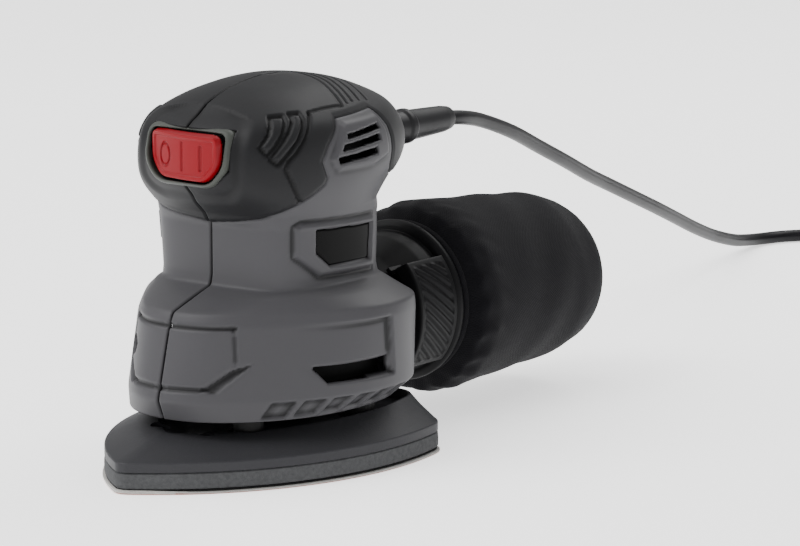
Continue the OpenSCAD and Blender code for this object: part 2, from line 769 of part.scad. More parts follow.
module foam_pad() {
    color([0.42, 0.42, 0.42]) difference() {
        pad_layer(foam_z, foam_t, 0);
        translate([orbit, 0, 0]) cylinder(r = 9, h = 30);
        holes_down(0, 40);
    }
}

module hook_layer() {
    color([0.08, 0.08, 0.08]) difference() {
        pad_layer(hook_z, hook_t, 0.4);
        translate([orbit, 0, 0]) cylinder(r = 9, h = 30);
        holes_down(0, 40);
    }
}

module sanding_sheet() {
    color([0.85, 0.83, 0.8]) difference() {
        pad_layer(0, sheet_t, 0);
        holes_down(-1, 10);
    }
}

// ---------- dust collection ----------

module dust_port() {
    color(rubber_black) along_y(0, 0, port_z) difference() {
        union() {
            translate([0, 0, port_front]) cylinder(r = port_r + port_wall, h = port_back - port_front);
            translate([0, 0, port_front]) cylinder(r = port_r + port_wall + 4, h = 2.5);
        }
        translate([0, 0, port_front - 1]) cylinder(r = port_r, h = 40);
    }
}

// Bell-shaped collar that pushes on the port and holds the bag, with two ribbed finger grips
module dust_collar() {
    r = port_r + port_wall + collar_fit;
    color([0.16, 0.16, 0.17]) along_y(0, 0, port_z) {
        difference() {
            rotate_extrude() polygon([[r, collar_front], [r + 2, collar_front], [23.6, 63],
                [28.5, 76], [29.5, 84], [31.4, 84], [33.8, 86], [33.8, 88], [31.4, 90], [30, 90],
                [30, 100], [28.2, 100], [28.2, 88], [26.6, 76], [21.5, 66.5], [r, 66.5]]);
            // air gap between the front lip and the skirt
            translate([0, 0, collar_front - 1]) cylinder(r = r, h = 3);
        }
        for (side = [0, 180]) rotate([0, 0, side]) difference() {
            intersection() {
                rotate_extrude() polygon([[27, 70], [31.5, 72], [33.2, 85.9], [30, 85.9]]);
                translate([10, -24, 60]) cube([30, 48, 40]);
            }
            for (k = [-3:3]) translate([32, 6 * k, 60]) rotate([20, 0, 0]) cube([3, 1.8, 40]);
        }
    }
}

function bag_ring(y, r, z) = [for (i = [0:27]) let (a = 360 * i / 28) [r * cos(a), r * sin(a) - z, y]];

// Rings of the bag from its mouth to its closed end as [y, radius, centre height]
bag_rings = [[94, 31.6, 49.5], [92, 36, 49], [95, 40, 48.8], [104, 41.5, 48.6], [125, 39, 48.5],
    [150, 37.6, 48], [175, 36, 47], [190, 32.5, 46], [198, 25, 45.6], [bag_end, 12, 45.5]];

module dust_bag() {
    inner_rings = [[94, 30.4, 49.5], [94.4, 36, 49], [96, 38.6, 48.8], [104, 40.2, 48.6],
        [125, 37.8, 48.5], [150, 36.4, 48], [174, 34.8, 47], [188.6, 31.4, 46], [196.4, 24, 45.6],
        [bag_end - bag_wall, 11, 45.5]];
    color([0.14, 0.14, 0.16]) rotate([-90, 0, 0])
        shell([for (b = bag_rings) bag_ring(b[0], b[1], b[2])],
            [for (b = inner_rings) bag_ring(b[0], b[1], b[2])], true);
}

// Elastic hem of the bag, in the collar's groove
module bag_hem() {
    color([0.1, 0.1, 0.1]) along_y(0, 90.2, port_z) ring(30.05, 31.5, 3.7);
}

left_housing();
right_housing();
left_grip();
right_grip();
housing_screws();
switch_bezel();
rocker_cap();
switch_body();
left_label();
right_label();
cord_protector();
cord_clamp();
clamp_screws();
cord_tail();
power_cord();
cord_coil();
cord_tie();
plug_body();
plug_pins();
capacitor();
stator_core();
field_coils();
armature_core();
armature_winding();
motor_shaft();
commutator();
cooling_fan();
upper_bearing();
lower_bearing();
bearing_plate();
eccentric_balancer();
pad_bearing();
pad_screw();
brush_holders();
carbon_brushes();
brush_springs();
rubber_posts();
platen();
foam_pad();
hook_layer();
sanding_sheet();
dust_port();
dust_collar();
bag_hem();
dust_bag();
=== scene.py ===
import math

import bmesh
import bpy
import numpy as np
from mathutils import Matrix, Vector


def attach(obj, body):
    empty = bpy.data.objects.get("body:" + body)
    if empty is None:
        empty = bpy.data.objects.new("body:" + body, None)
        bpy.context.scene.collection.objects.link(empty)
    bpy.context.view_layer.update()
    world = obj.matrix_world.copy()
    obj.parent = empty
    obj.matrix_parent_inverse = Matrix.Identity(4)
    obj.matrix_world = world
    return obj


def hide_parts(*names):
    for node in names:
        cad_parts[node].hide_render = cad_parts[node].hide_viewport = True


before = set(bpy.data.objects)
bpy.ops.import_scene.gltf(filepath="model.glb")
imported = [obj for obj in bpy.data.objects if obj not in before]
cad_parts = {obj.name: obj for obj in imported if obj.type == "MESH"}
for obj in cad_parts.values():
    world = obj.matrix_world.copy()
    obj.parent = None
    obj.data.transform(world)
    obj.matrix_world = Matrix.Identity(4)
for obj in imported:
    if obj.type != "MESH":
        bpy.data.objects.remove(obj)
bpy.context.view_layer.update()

MM = 0.001

# ---------------------------------------------------------------------------------------------
# Studio: a pale floor, a large soft light from the upper left, a weaker one from the right and
# a strip behind, and the camera in front, to the right of the pad.
# ---------------------------------------------------------------------------------------------


def shader_nodes(name):
    """An empty material and its Principled shader."""
    material = bpy.data.materials.new(name)
    material.use_nodes = True
    return material, material.node_tree, material.node_tree.nodes["Principled BSDF"]


def look_along(obj, back, right, up):
    """Turns a camera or light so that it looks along -back."""
    turn = Matrix((right, up, back)).transposed()
    obj.rotation_euler = turn.to_euler()


camera = bpy.data.objects.new("camera", bpy.data.cameras.new("camera"))
bpy.context.scene.collection.objects.link(camera)
camera.location = (1.0392, -1.2513, 0.3809)
look_along(camera, Vector((0.6023, -0.7764, 0.1857)), Vector((0.7902, 0.6129, 0)),
           Vector((-0.1138, 0.1467, 0.9826)))
camera.data.lens = 186.6
camera.data.sensor_width = 36
bpy.context.scene.camera = camera

floor_mesh = bmesh.new()
bmesh.ops.create_grid(floor_mesh, x_segments=2, y_segments=2, size=6)
floor = bpy.data.objects.new("floor", bpy.data.meshes.new("floor"))
floor_mesh.to_mesh(floor.data)
floor_mesh.free()
bpy.context.scene.collection.objects.link(floor)
paper, _, paper_shader = shader_nodes("studio_paper")
paper_shader.inputs["Base Color"].default_value = (0.93, 0.93, 0.93, 1)
paper_shader.inputs["Roughness"].default_value = 0.9
paper_shader.inputs["Emission Color"].default_value = (1, 1, 1, 1)
paper_shader.inputs["Emission Strength"].default_value = 1.1
floor.data.materials.append(paper)

world = bpy.data.worlds.new("studio_air")
world.use_nodes = True
world.node_tree.nodes["Background"].inputs["Color"].default_value = (1, 1, 1, 1)
world.node_tree.nodes["Background"].inputs["Strength"].default_value = 0.55
bpy.context.scene.world = world


def softbox(name, place, aim, width, height, power):
    data = bpy.data.lights.new(name, "AREA")
    data.shape = "RECTANGLE"
    data.size, data.size_y, data.energy = width, height, power
    lamp = bpy.data.objects.new(name, data)
    bpy.context.scene.collection.objects.link(lamp)
    lamp.location = place
    lamp.rotation_euler = (Vector(aim) - Vector(place)).to_track_quat("-Z", "Y").to_euler()


softbox("key_light", (-0.5, -0.9, 1.3), (0, 0, 0.08), 0.9, 0.9, 16)
softbox("fill_light", (1.4, -0.1, 0.7), (0, 0.05, 0.06), 0.7, 0.7, 1.5)
softbox("back_light", (0.1, 1.2, 1.3), (0, 0.1, 0.08), 1.4, 0.5, 13)
sky = bpy.data.objects.new("sky_light", bpy.data.lights.new("sky_light", "SUN"))
sky.data.energy, sky.data.angle = 2.0, math.radians(80)
sky.rotation_euler = Vector((-0.42, -0.38, 0.82)).to_track_quat("Z", "Y").to_euler()
bpy.context.scene.collection.objects.link(sky)

# ---------------------------------------------------------------------------------------------
# Surface effect shared by the materials: the fine spark-eroded grain of moulded plastic with
# faint flow marks. It gives a colour, a roughness and a height, and darkens grooves with painted
# shade where the skin carries a groove-shade value. The dust bag's weave is made with the bag.
# ---------------------------------------------------------------------------------------------


class Wires:
    """Makes nodes in one tree and joins them with few words."""

    def __init__(self, tree):
        self.tree = tree

    def add(self, kind, inputs=(), **settings):
        node = self.tree.nodes.new(kind)
        for key, value in settings.items():
            setattr(node, key, value)
        for key, value in dict(inputs).items():
            if isinstance(value, bpy.types.NodeSocket):
                self.tree.links.new(value, node.inputs[key])
            else:
                node.inputs[key].default_value = value
        return node

    def math(self, operation, a, b=0.0, c=0.0):
        return self.add("ShaderNodeMath", {0: a, 1: b, 2: c}, operation=operation).outputs[0]


def new_group(name, inputs, outputs):
    group = bpy.data.node_groups.new(name, "ShaderNodeTree")
    for label, kind, value in inputs:
        socket = group.interface.new_socket(label, in_out="INPUT", socket_type=kind)
        socket.default_value = value
    for label, kind in outputs:
        group.interface.new_socket(label, in_out="OUTPUT", socket_type=kind)
    wires = Wires(group)
    return group, wires, wires.add("NodeGroupInput"), wires.add("NodeGroupOutput")


# Share of the colour taken off at the bottom of a groove as painted shade
CREASE_SHADE = 0.75
FINISH_OUTPUTS = (("Color", "NodeSocketColor"), ("Roughness", "NodeSocketFloat"),
                  ("Height", "NodeSocketFloat"))


def moulded_grain():
    """Grain of a moulded or cast surface, with soft blotches and rubbed, smoother spots.
    CREASE_SHADE of the colour is taken off at the bottom of a groove as painted shade."""
    group, w, put, out = new_group(
        "moulded_grain",
        (("Color", "NodeSocketColor", (0.1, 0.1, 0.1, 1)), ("Grain", "NodeSocketFloat", 1800.0),
         ("Mottle", "NodeSocketFloat", 0.06), ("Roughness", "NodeSocketFloat", 0.5)),
        FINISH_OUTPUTS)
    place = w.add("ShaderNodeTexCoord").outputs["Object"]
    fine = w.add("ShaderNodeTexNoise", {"Vector": place, "Scale": put.outputs["Grain"],
                                        "Detail": 3.0, "Roughness": 0.6}).outputs["Fac"]
    cloud = w.add("ShaderNodeTexNoise", {"Vector": place, "Scale": 28.0, "Detail": 4.0,
                                         "Roughness": 0.55}).outputs["Fac"]
    speck = w.add("ShaderNodeTexNoise", {"Vector": place, "Scale": 420.0, "Detail": 2.0}).outputs["Fac"]
    both = w.math("ADD", w.math("MULTIPLY", cloud, 0.6), w.math("MULTIPLY", speck, 0.4))
    shade = w.math("ADD", w.math("MULTIPLY", w.math("SUBTRACT", both, 0.5), put.outputs["Mottle"]), 1.0)
    tone = w.math("ADD", w.math("MULTIPLY", w.math("SUBTRACT", fine, 0.5),
                                w.math("MULTIPLY", put.outputs["Mottle"], 1.5)), shade)
    # Painted shade: the grooves marked on the skin are darkened where shade falls in them
    shade_in_groove = w.add("ShaderNodeAttribute", attribute_name="painted_groove_shade").outputs["Fac"]
    tone = w.math("MULTIPLY", tone, w.math("SUBTRACT", 1.0, w.math("MULTIPLY", shade_in_groove, CREASE_SHADE)))
    scaled = w.add("ShaderNodeVectorMath", {0: put.outputs["Color"], "Scale": tone}, operation="SCALE")
    w.tree.links.new(scaled.outputs[0], out.inputs["Color"])
    uneven = w.math("MULTIPLY", w.math("SUBTRACT", cloud, 0.5), 0.16)
    rough = w.math("ADD", put.outputs["Roughness"], uneven)
    w.tree.links.new(rough, out.inputs["Roughness"])
    w.tree.links.new(fine, out.inputs["Height"])
    return group


GRAIN = moulded_grain()


def surface(name, colour, rough=0.5, grain=1800.0, mottle=0.08, bump=0.25, depth=0.05 * MM,
            metallic=0.0, coat=0.0, sheen=0.0, gloss=0.18):
    """A material on the moulded grain. Every carried-over part and most new pieces use it."""
    material, tree, shader = shader_nodes(name)
    w = Wires(tree)
    group = w.add("ShaderNodeGroup")
    group.node_tree = GRAIN
    group.inputs["Color"].default_value = (*colour, 1)
    group.inputs["Grain"].default_value = grain
    group.inputs["Mottle"].default_value = mottle
    group.inputs["Roughness"].default_value = rough
    tint = group.outputs["Color"]
    tree.links.new(tint, shader.inputs["Base Color"])
    tree.links.new(group.outputs["Roughness"], shader.inputs["Roughness"])
    relief = w.add("ShaderNodeBump", {"Height": group.outputs["Height"], "Strength": bump,
                                      "Distance": depth})
    tree.links.new(relief.outputs["Normal"], shader.inputs["Normal"])
    shader.inputs["Metallic"].default_value = metallic
    shader.inputs["Specular IOR Level"].default_value = 0.5 if metallic else gloss
    shader.inputs["Coat Weight"].default_value = coat
    shader.inputs["Sheen Weight"].default_value = sheen
    return material


def new_object(name, mesh, material=None, smooth=True):
    """A piece from a bmesh, which it frees, or from a mesh."""
    if isinstance(mesh, bmesh.types.BMesh):
        data = bpy.data.meshes.new(name)
        mesh.to_mesh(data)
        mesh.free()
        mesh = data
    piece = bpy.data.objects.new(name, mesh)
    bpy.context.scene.collection.objects.link(piece)
    if material:
        piece.data.materials.append(material)
    if smooth:
        piece.data.shade_smooth()
    return piece


# ---------------------------------------------------------------------------------------------
# Mains lead: round two-core flex, 6.2 mm, black PVC. It leaves the strain relief, arches down to
# the floor and is put away as a coil of just over five turns in two layers, held by a
# hook-and-loop tie.
# ---------------------------------------------------------------------------------------------
CORD_R = 3.1 * MM
CORD_ROUTE = [(0, 118.6, 122), (0, 130, 121), (-4, 150, 117), (-10, 180, 108), (-17, 210, 97),
              (-24, 240, 86), (-32, 270, 75), (-40, 300, 65), (-48, 330, 55), (-56, 360, 45),
              (-65, 390, 35), (-74, 420, 25), (-83, 450, 16), (-91, 480, 8.5), (-96, 500, 5),
              (-97, 515, 3.4), (-92, 530, 3.2), (-81, 543, 3.2), (-67, 553.5, 3.2),
              (-53, 563.5, 3.2), (-39, 573.4, 3.1)]
COIL = Vector((-15, 540, 0))
PLUG_ROUTE = [(-15, 581.2, 9.3), (-9, 581.2, 9.6), (-2, 581.2, 11.15), (5, 581.2, 12.7),
              (11, 581.2, 13)]
TURN_STEP = 6.2
INNER_TURN = 28.8


def smoothstep(t):
    t = np.clip(t, 0, 1)
    return t * t * (3 - 2 * t)


def through(points, steps):
    """Points on a smooth curve through the given ones."""
    pts = [Vector(p) for p in points]
    last = len(pts) - 1
    made = []
    for i in range(last):
        a, b, c, d = pts[max(i - 1, 0)], pts[i], pts[i + 1], pts[min(i + 2, last)]
        for k in range(steps):
            t = k / steps
            made.append(0.5 * (2 * b + (c - a) * t + (2 * a - 5 * b + 4 * c - d) * t * t
                               + (3 * b - a - 3 * c + d) * t ** 3))
    return made + [pts[-1]]


def coil_turns():
    """The turns, clockwise from above: three at the bottom, then back out over them. Each turn
    runs round and steps sideways only in a short crossing, as it lies in a real coil."""
    entry = math.degrees(math.atan2(573.4 - COIL.y, -39 - COIL.x))
    total = entry - 90 + 5 * 360
    made = []
    for k in range(1, int(total / 7.5)):
        sweep = k * 7.5
        steps_in = smoothstep((sweep - 210) / 150) + smoothstep((sweep - 570) / 150)
        steps_out = smoothstep((sweep - 1170) / 150) + smoothstep((sweep - 1530) / 150)
        lifted = smoothstep((sweep - 880) / 120)
        radius = INNER_TURN + TURN_STEP * (2 - steps_in + steps_out)
        turn = math.radians(entry - sweep)
        made.append(COIL + Vector((radius * math.cos(turn), radius * math.sin(turn),
                                   3.1 + TURN_STEP * lifted)))
    return made


cord_path = [p * MM for p in through(CORD_ROUTE, 4) + coil_turns() + through(PLUG_ROUTE, 4)]
cord_curve = bpy.data.curves.new("mains_lead", "CURVE")
cord_curve.dimensions = "3D"
cord_curve.bevel_depth = CORD_R
cord_curve.bevel_resolution = 6
cord_curve.use_fill_caps = True
cord_line = cord_curve.splines.new("POLY")
cord_line.points.add(len(cord_path) - 1)
for point, place in zip(cord_line.points, cord_path):
    point.co = (*place, 1)
cord_line.use_smooth = True
mains_lead = bpy.data.objects.new("mains_lead", cord_curve)
bpy.context.scene.collection.objects.link(mains_lead)
lead_pvc = surface("lead_pvc", (0.004, 0.004, 0.005), rough=0.4, grain=900, mottle=0.25, bump=0.12,
                   depth=0.1 * MM)
cord_curve.materials.append(lead_pvc)
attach(mains_lead, "tool_body")
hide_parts("power_cord", "cord_coil")


def face_outward(bm):
    bmesh.ops.recalc_face_normals(bm, faces=bm.faces)
    if bm.calc_volume(signed=True) < 0:
        bmesh.ops.reverse_faces(bm, faces=bm.faces)


def crisp(piece):
    """Shades a machined or moulded edge as an edge."""
    piece.data.set_sharp_from_angle(angle=math.radians(24))
    return piece


def turned(name, profile, axis_point, axis, material, segments=96, smooth=True):
    """A solid of revolution: profile points are (radius, distance along the axis), in mm. A
    profile that starts and ends on the axis closes; any other is closed into a ring."""
    bm = bmesh.new()
    centre = Vector(axis_point)
    along = Vector(axis).normalized()
    out = along.orthogonal().normalized()
    verts = [bm.verts.new((centre + out * r + along * s) * MM) for r, s in profile]
    ring = profile[0][0] > 0 or profile[-1][0] > 0
    pairs = list(zip(verts, verts[1:] + verts[:1])) if ring else list(zip(verts, verts[1:]))
    edges = [bm.edges.new(p) for p in pairs]
    bmesh.ops.spin(bm, geom=verts + edges, cent=centre * MM, axis=along, angle=math.tau,
                   steps=segments, use_merge=True)
    bmesh.ops.remove_doubles(bm, verts=bm.verts, dist=1e-6)
    face_outward(bm)
    return crisp(new_object(name, bm, material, smooth))


def rounded(points, radius, steps=3):
    """A closed outline of 2-D points with each corner cut by an arc of about that radius."""
    made = []
    for i, corner in enumerate(points):
        p = Vector(corner)
        before, after = Vector(points[i - 1]) - p, Vector(points[(i + 1) % len(points)]) - p
        reach = min(radius, before.length * 0.45, after.length * 0.45)
        a, b = p + before.normalized() * reach, p + after.normalized() * reach
        for k in range(steps + 1):
            t = k / steps
            made.append(a * (1 - t) ** 2 + p * 2 * t * (1 - t) + b * t * t)
    return [tuple(p) for p in made]


relief_rubber = surface("relief_rubber", (0.010, 0.010, 0.011), rough=0.42, grain=1500, mottle=0.15)
RELIEF = rounded([(3.1, 70), (9, 70), (9, 73), (6.6, 73.2), (6.6, 88), (7.4, 89), (7.4, 92),
                  (6.5, 93), (6.1, 104), (5.6, 116), (4.9, 120.6), (3.1, 120.6)], 0.7)
strain_relief = turned("strain_relief", RELIEF, (0, 0, 122), (0, 1, 0), relief_rubber)
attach(strain_relief, "tool_body")
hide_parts("cord_protector")

# ---------------------------------------------------------------------------------------------
# Housing: two halves moulded in grey glass-filled nylon, screwed together from the left. They
# form the skirt over the pad, the waist and the frame of the head; the head's vent panel, the
# label frames, the front panel and the dust slots are moulded in their walls.
# ---------------------------------------------------------------------------------------------
# Height, centre, roundness, then the distances of the planes that bound the section at the
# front, front diagonal, side, rear diagonal and rear
SECTIONS = np.array([
    (25, 0, 8, 63, 54, 48, 54, 42), (33, 0, 8, 67, 54, 58, 63, 46), (62, 0, 8, 59, 50, 59, 64, 45),
    (66.5, 0, 8, 57, 48, 58, 64, 44), (71, 0, 7, 43.5, 45, 48, 56, 41),
    (74, 0, 6, 33.5, 45, 38.5, 56, 38), (78, 0, 6, 32.5, 46, 37, 58, 37),
    (98, 0, 6, 32.5, 48, 38, 53, 40), (104, 0, 5, 36.5, 48, 42, 49, 49),
    (111, 5, 5, 50, 58, 43.5, 49, 64), (117, 12, 5, 64, 64, 44.5, 49, 78),
    (124, 14, 5, 67, 66, 44.5, 50, 80), (132, 12, 5, 64.5, 63, 43.5, 49, 78),
    (138.5, 10, 5, 60.5, 57, 41, 45.5, 70), (143, 8, 4.5, 50.5, 49, 36, 40.5, 57),
    (147, 6, 4, 41, 38, 30, 35, 45), (150.5, 4, 4, 28, 22, 22, 28, 30),
    (152.5, 4, 3.5, 15, 12, 13, 17, 17), (153.3, 4, 3.5, 4, 4, 4, 5, 5)], float)
PLANES = ((-90, 3), (-38, 4), (-142, 4), (0, 5), (180, 5), (40, 6), (140, 6), (90, 7))
SKIN_COLUMNS = 250
ROW_STEP = 0.75


def blurred(rows, sigma):
    """Rows a quarter millimetre apart, smoothed over sigma millimetres."""
    reach = int(sigma * 12)
    kernel = np.exp(-0.5 * (np.arange(-reach, reach + 1) / (sigma * 4)) ** 2)
    padded = np.pad(rows, ((reach, reach), (0, 0)), mode="edge")
    return np.stack([np.convolve(padded[:, k], kernel / kernel.sum(), "valid")
                     for k in range(rows.shape[1])], 1)


def skin_grid(low, high):
    """X, Y, Z in mm of the right half's skin between two heights: one row per level, one column
    per direction from the front joint line to the rear one."""
    spread = SECTIONS[:, (3, 5, 7)].mean(1)
    travel = np.hypot(np.diff(SECTIONS[:, 0]), np.diff(spread))
    length = np.concatenate(([0], np.cumsum(travel)))
    at = np.arange(0, length[-1], 0.25)
    rows = np.stack([np.interp(at, length, SECTIONS[:, k]) for k in range(8)], 1)
    soft = smoothstep((rows[:, :1] - 101) / 8)
    rows = blurred(rows, 0.7) * (1 - soft) + blurred(rows, 3.5) * soft
    rows = rows[::int(ROW_STEP * 4)]
    rows = rows[(rows[:, 0] >= low) & (rows[:, 0] <= high)]
    turn = np.radians(np.linspace(-90, 90, SKIN_COLUMNS + 1))
    terms = sum((np.maximum(0, np.cos(turn - math.radians(at_deg))) / rows[:, k:k + 1])
                ** rows[:, 2:3] for at_deg, k in PLANES)
    radius = terms ** (-1 / rows[:, 2:3])
    x = radius * np.cos(turn)
    x[:, (0, -1)] = 0
    return x, rows[:, 1:2] + radius * np.sin(turn), np.repeat(rows[:, :1], len(turn), 1)


def outward(x, y, z):
    """Unit normals of the skin, pointing out."""
    p = np.stack((x, y, z), -1)
    n = np.cross(np.gradient(p, axis=1), np.gradient(p, axis=0))
    n /= np.maximum(np.linalg.norm(n, axis=-1, keepdims=True), 1e-9)
    n[:, (0, -1), 0] = 0
    return n


def line_distance(points, a, b, closed=False):
    """Distance of the places (a, b) from a line through points."""
    best = np.full(a.shape, 1e9)
    ends = points[1:] + ([points[0]] if closed else [])
    for (p, q), (r, s) in zip(points, ends):
        along = np.clip(((a - p) * (r - p) + (b - q) * (s - q)) / ((r - p) ** 2 + (s - q) ** 2), 0, 1)
        best = np.minimum(best, np.hypot(a - p - along * (r - p), b - q - along * (s - q)))
    return best


def depth_inside(outline, a, b):
    """Distance from an outline, positive inside it and negative outside."""
    inside = np.zeros(a.shape, bool)
    for (p, q), (r, s) in zip(outline, outline[1:] + [outline[0]]):
        if q != s:
            inside ^= ((q > b) != (s > b)) & (a < (r - p) * (b - q) / (s - q) + p)
    away = line_distance(outline, a, b, closed=True)
    return np.where(inside, away, -away)


def groove(distance, width, depth):
    return -depth * np.clip(1 - (2 * distance / width) ** 2, 0, 1)


def wrap(x, y):
    """Distance round the body from its front, in about millimetres on the head's side."""
    return 0.7 * np.degrees(np.arctan2(np.abs(x), -y))


def from_front(points):
    """Outline given as (degrees round from the front, height) in the same measure as wrap."""
    return [(0.7 * angle, z) for angle, z in points]


# Where the grey housing shows: below the rubber's lip, and in the window round the vent panel
GREY_AREA = from_front([(-2, 98.9), (21.6, 100.6), (37.5, 102.7), (48, 105.3), (58, 108.7),
                        (66, 112.2), (73, 115.5), (74.5, 118), (71, 124.7), (76, 130.5),
                        (83.5, 135.9), (87.5, 140.2), (126, 141.2), (130.6, 133.6),
                        (131, 129), (130.4, 118), (133.4, 114), (150, 111), (182, 109), (182, 10),
                        (-2, 10)])
LABEL_FRAME = [(-23.4, 99.3), (-20.8, 101.1), (24.5, 99), (24, 76.3), (-10.5, 77.5), (-22.8, 86.8)]
LABEL = [(-13.7, 97.7), (22.3, 95.9), (21.3, 80.4), (-4.9, 80.9), (-13.4, 87.5)]
PANEL_LINE = [(24.5, 61.6), (26.3, 47.3), (25.4, 45.6), (17, 38.1)]
PANEL_RAMP = [(26.2, 46.3), (32, 48.5), (22, 36.2), (16.5, 37.6)]
RECESS = [(-34, 62), (10.5, 62.1), (13.2, 37.8), (-19.5, 37.8), (-34, 47)]
SLOT = [(-25.5, 45.2), (9.7, 45.4), (9.8, 39.4), (-20.3, 38.7)]
VENT_FRAME = from_front([(75.5, 124.7), (87, 137.6), (91.5, 139), (123.5, 139.4), (127, 132.5),
                         (126.5, 121.5), (111, 118.6), (82, 119)])
LOUVRES = [[(0.4, 133.1), (21.9, 134.9), (22.4, 133.2), (0.2, 131.7)],
           [(-2.2, 129.4), (21.4, 131.1), (21.8, 128.9), (-3.6, 127.4)],
           [(-6.2, 124.8), (18.6, 126.3), (18.4, 124), (-5.4, 122.8)]]
SCREW_SPOTS = [(-50, 50), (31, 31.5), (31.2, 76), (-28.5, 107.5), (-20, 138), (48, 135)]


def housing_relief(x, y, z, left):
    """How far each place of the housing's skin stands out of or sinks into the plain section."""
    side, front = x > 24, y < -36
    rise = groove(x, 1.5, 0.9)
    # front panel of the skirt: grooves above and below, and the step and ramp at its end
    top_line = line_distance([(0, 61.6), (19, 61.5), (24.5, 61.6)], x, z)
    foot_line = line_distance([(0, 37.9), (17, 38.1)], x, z)
    rise += np.where(front, groove(top_line, 2.4, 1.3) + groove(foot_line, 2.2, 1.2), 0)
    rise += np.where(front, groove(line_distance(PANEL_LINE, x, z), 1.6, 0.6), 0)
    ramp = depth_inside(PANEL_RAMP, x, z)
    slide = np.clip(line_distance([(26.2, 46.3), (16.5, 37.6)], x, z) / 6, 0, 1)
    rise -= np.where((y < -30) & (ramp > 0), 2.2 * (1 - slide) * smoothstep(ramp / 0.7), 0)
    # recess round the dust slot, deepest at its rear, and the slot
    sunk = smoothstep(depth_inside(RECESS, y, z) / 1.3) * smoothstep((y + 33) / 42)
    rise -= np.where(side, 2.0 * sunk, 0)
    rise -= np.where(side, 2.4 * smoothstep((depth_inside(SLOT, y, z) + 0.4) / 0.8), 0)
    # slanted scallops under the skirt
    lean = y - 0.55 * (z - 33)
    tooth = np.abs(((lean + 41) / 11) % 1 - 0.5) * 11
    band = smoothstep((z - 25.8) / 0.8) * smoothstep((32.6 - z) / 0.7)
    rise -= np.where(side & (lean > -41) & (lean < 25), 1.3 * band * smoothstep((4.6 - tooth) / 1.0), 0)
    # raised frame and sunk seat of the label
    frame_in = depth_inside(LABEL_FRAME, y, z)
    rise += np.where(side, 1.7 * smoothstep(frame_in / 2.2), 0)
    rise += np.where(side, groove(np.abs(frame_in + 0.2), 1.2, 0.4), 0)
    rise -= np.where(side, 1.8 * smoothstep(depth_inside(LABEL, y, z) / 0.9), 0)
    # vent panel and its three slots
    round_at = wrap(x, y)
    vent = depth_inside(VENT_FRAME, round_at, z)
    rise += np.where(side, 1.3 * smoothstep(vent / 2.6), 0)
    for slot in LOUVRES:
        rise -= np.where(side, 2.2 * smoothstep((depth_inside(slot, y, z) + 0.35) / 0.7), 0)
    # edge under the rubber skin
    edge = depth_inside(GREY_AREA, round_at, z)
    rise -= 0.7 * smoothstep((0.9 - edge) / 0.9) + 1.8 * smoothstep(-edge / 1.0)
    if left:
        for sy, sz in SCREW_SPOTS[:3]:
            hole = np.hypot(y - sy, z - sz)
            rise -= np.where(x > 8, 5.0 * smoothstep((4.1 - hole) / 0.8), 0)
    return rise


def housing_kept(x, y, z, left):
    kept = depth_inside(GREY_AREA, wrap(x, y), z) > -1.6
    kept &= ~((x > 24) & (depth_inside(SLOT, y, z) > 0.35))
    for slot in LOUVRES:
        kept &= ~((x > 24) & (depth_inside(slot, y, z) > 0.3))
    if left:
        for sy, sz in SCREW_SPOTS[:3]:
            kept &= ~((x > 8) & (np.hypot(y - sy, z - sz) < 3.2))
    return kept


def skin_piece(name, low, high, relief, kept, left, wall, material):
    """One moulded half: a grid laid over the half's skin, moved in and out by relief, cut where
    kept says so, and given its wall. Places lower than those around them get painted shade."""
    x, y, z = skin_grid(low, high)
    rise = relief(x, y, z, left)
    # Painted shade: how far a place lies below its neighbours sets how dark its colour is painted
    around = sum(np.roll(rise, (i, j), (0, 1)) for i in (-3, 0, 3) for j in (-4, 0, 4)) / 9
    painted_groove_shade = np.clip((around - rise) * 1.8, 0, 1)
    places = np.stack((x, y, z), -1) + outward(x, y, z) * rise[..., None]
    places[:, (0, -1), 0] = 0.06
    if high > 153:
        places = np.concatenate((places, np.broadcast_to((0.06, 4, 153.35), places[-1:].shape)))
    stay = kept(x, y, z, left)
    if left:
        places = places * (-1, 1, 1)
    rows, columns = places.shape[:2]
    bm = bmesh.new()
    bmesh.ops.create_grid(bm, x_segments=columns - 1, y_segments=rows - 1, size=1)
    lost = []
    dark = bm.verts.layers.float.new("painted_groove_shade")
    for vert in bm.verts:
        column = round((vert.co.x + 1) / 2 * (columns - 1))
        row = round((vert.co.y + 1) / 2 * (rows - 1))
        vert.co = places[row, column] * MM
        row = min(row, len(stay) - 1)
        vert[dark] = painted_groove_shade[row, column]
        if not stay[row, column]:
            lost.append(vert)
    bmesh.ops.delete(bm, geom=lost, context="VERTS")
    bmesh.ops.remove_doubles(bm, verts=bm.verts, dist=1e-6)
    if left:
        bmesh.ops.reverse_faces(bm, faces=bm.faces)
    piece = new_object(name, bm, material)
    thick = piece.modifiers.new("wall", "SOLIDIFY")
    thick.thickness = wall * MM
    thick.offset = -1
    return piece


grey_nylon = surface("grey_nylon", (0.052, 0.051, 0.055), rough=0.47, grain=1500, mottle=0.06,
                     bump=0.3, depth=0.06 * MM)
for left in (False, True):
    side_name = "left" if left else "right"
    half = skin_piece(side_name + "_housing_half", 25, 143.5, housing_relief, housing_kept, left,
                      2.2, grey_nylon)
    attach(half, "tool_body")
    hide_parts(side_name + "_housing")

# Painted shade: a black material for the sheets that stand in for the shade inside the openings
painted_shade_black = surface("painted_shade_black", (0.004, 0.004, 0.004), rough=0.7, gloss=0.1)
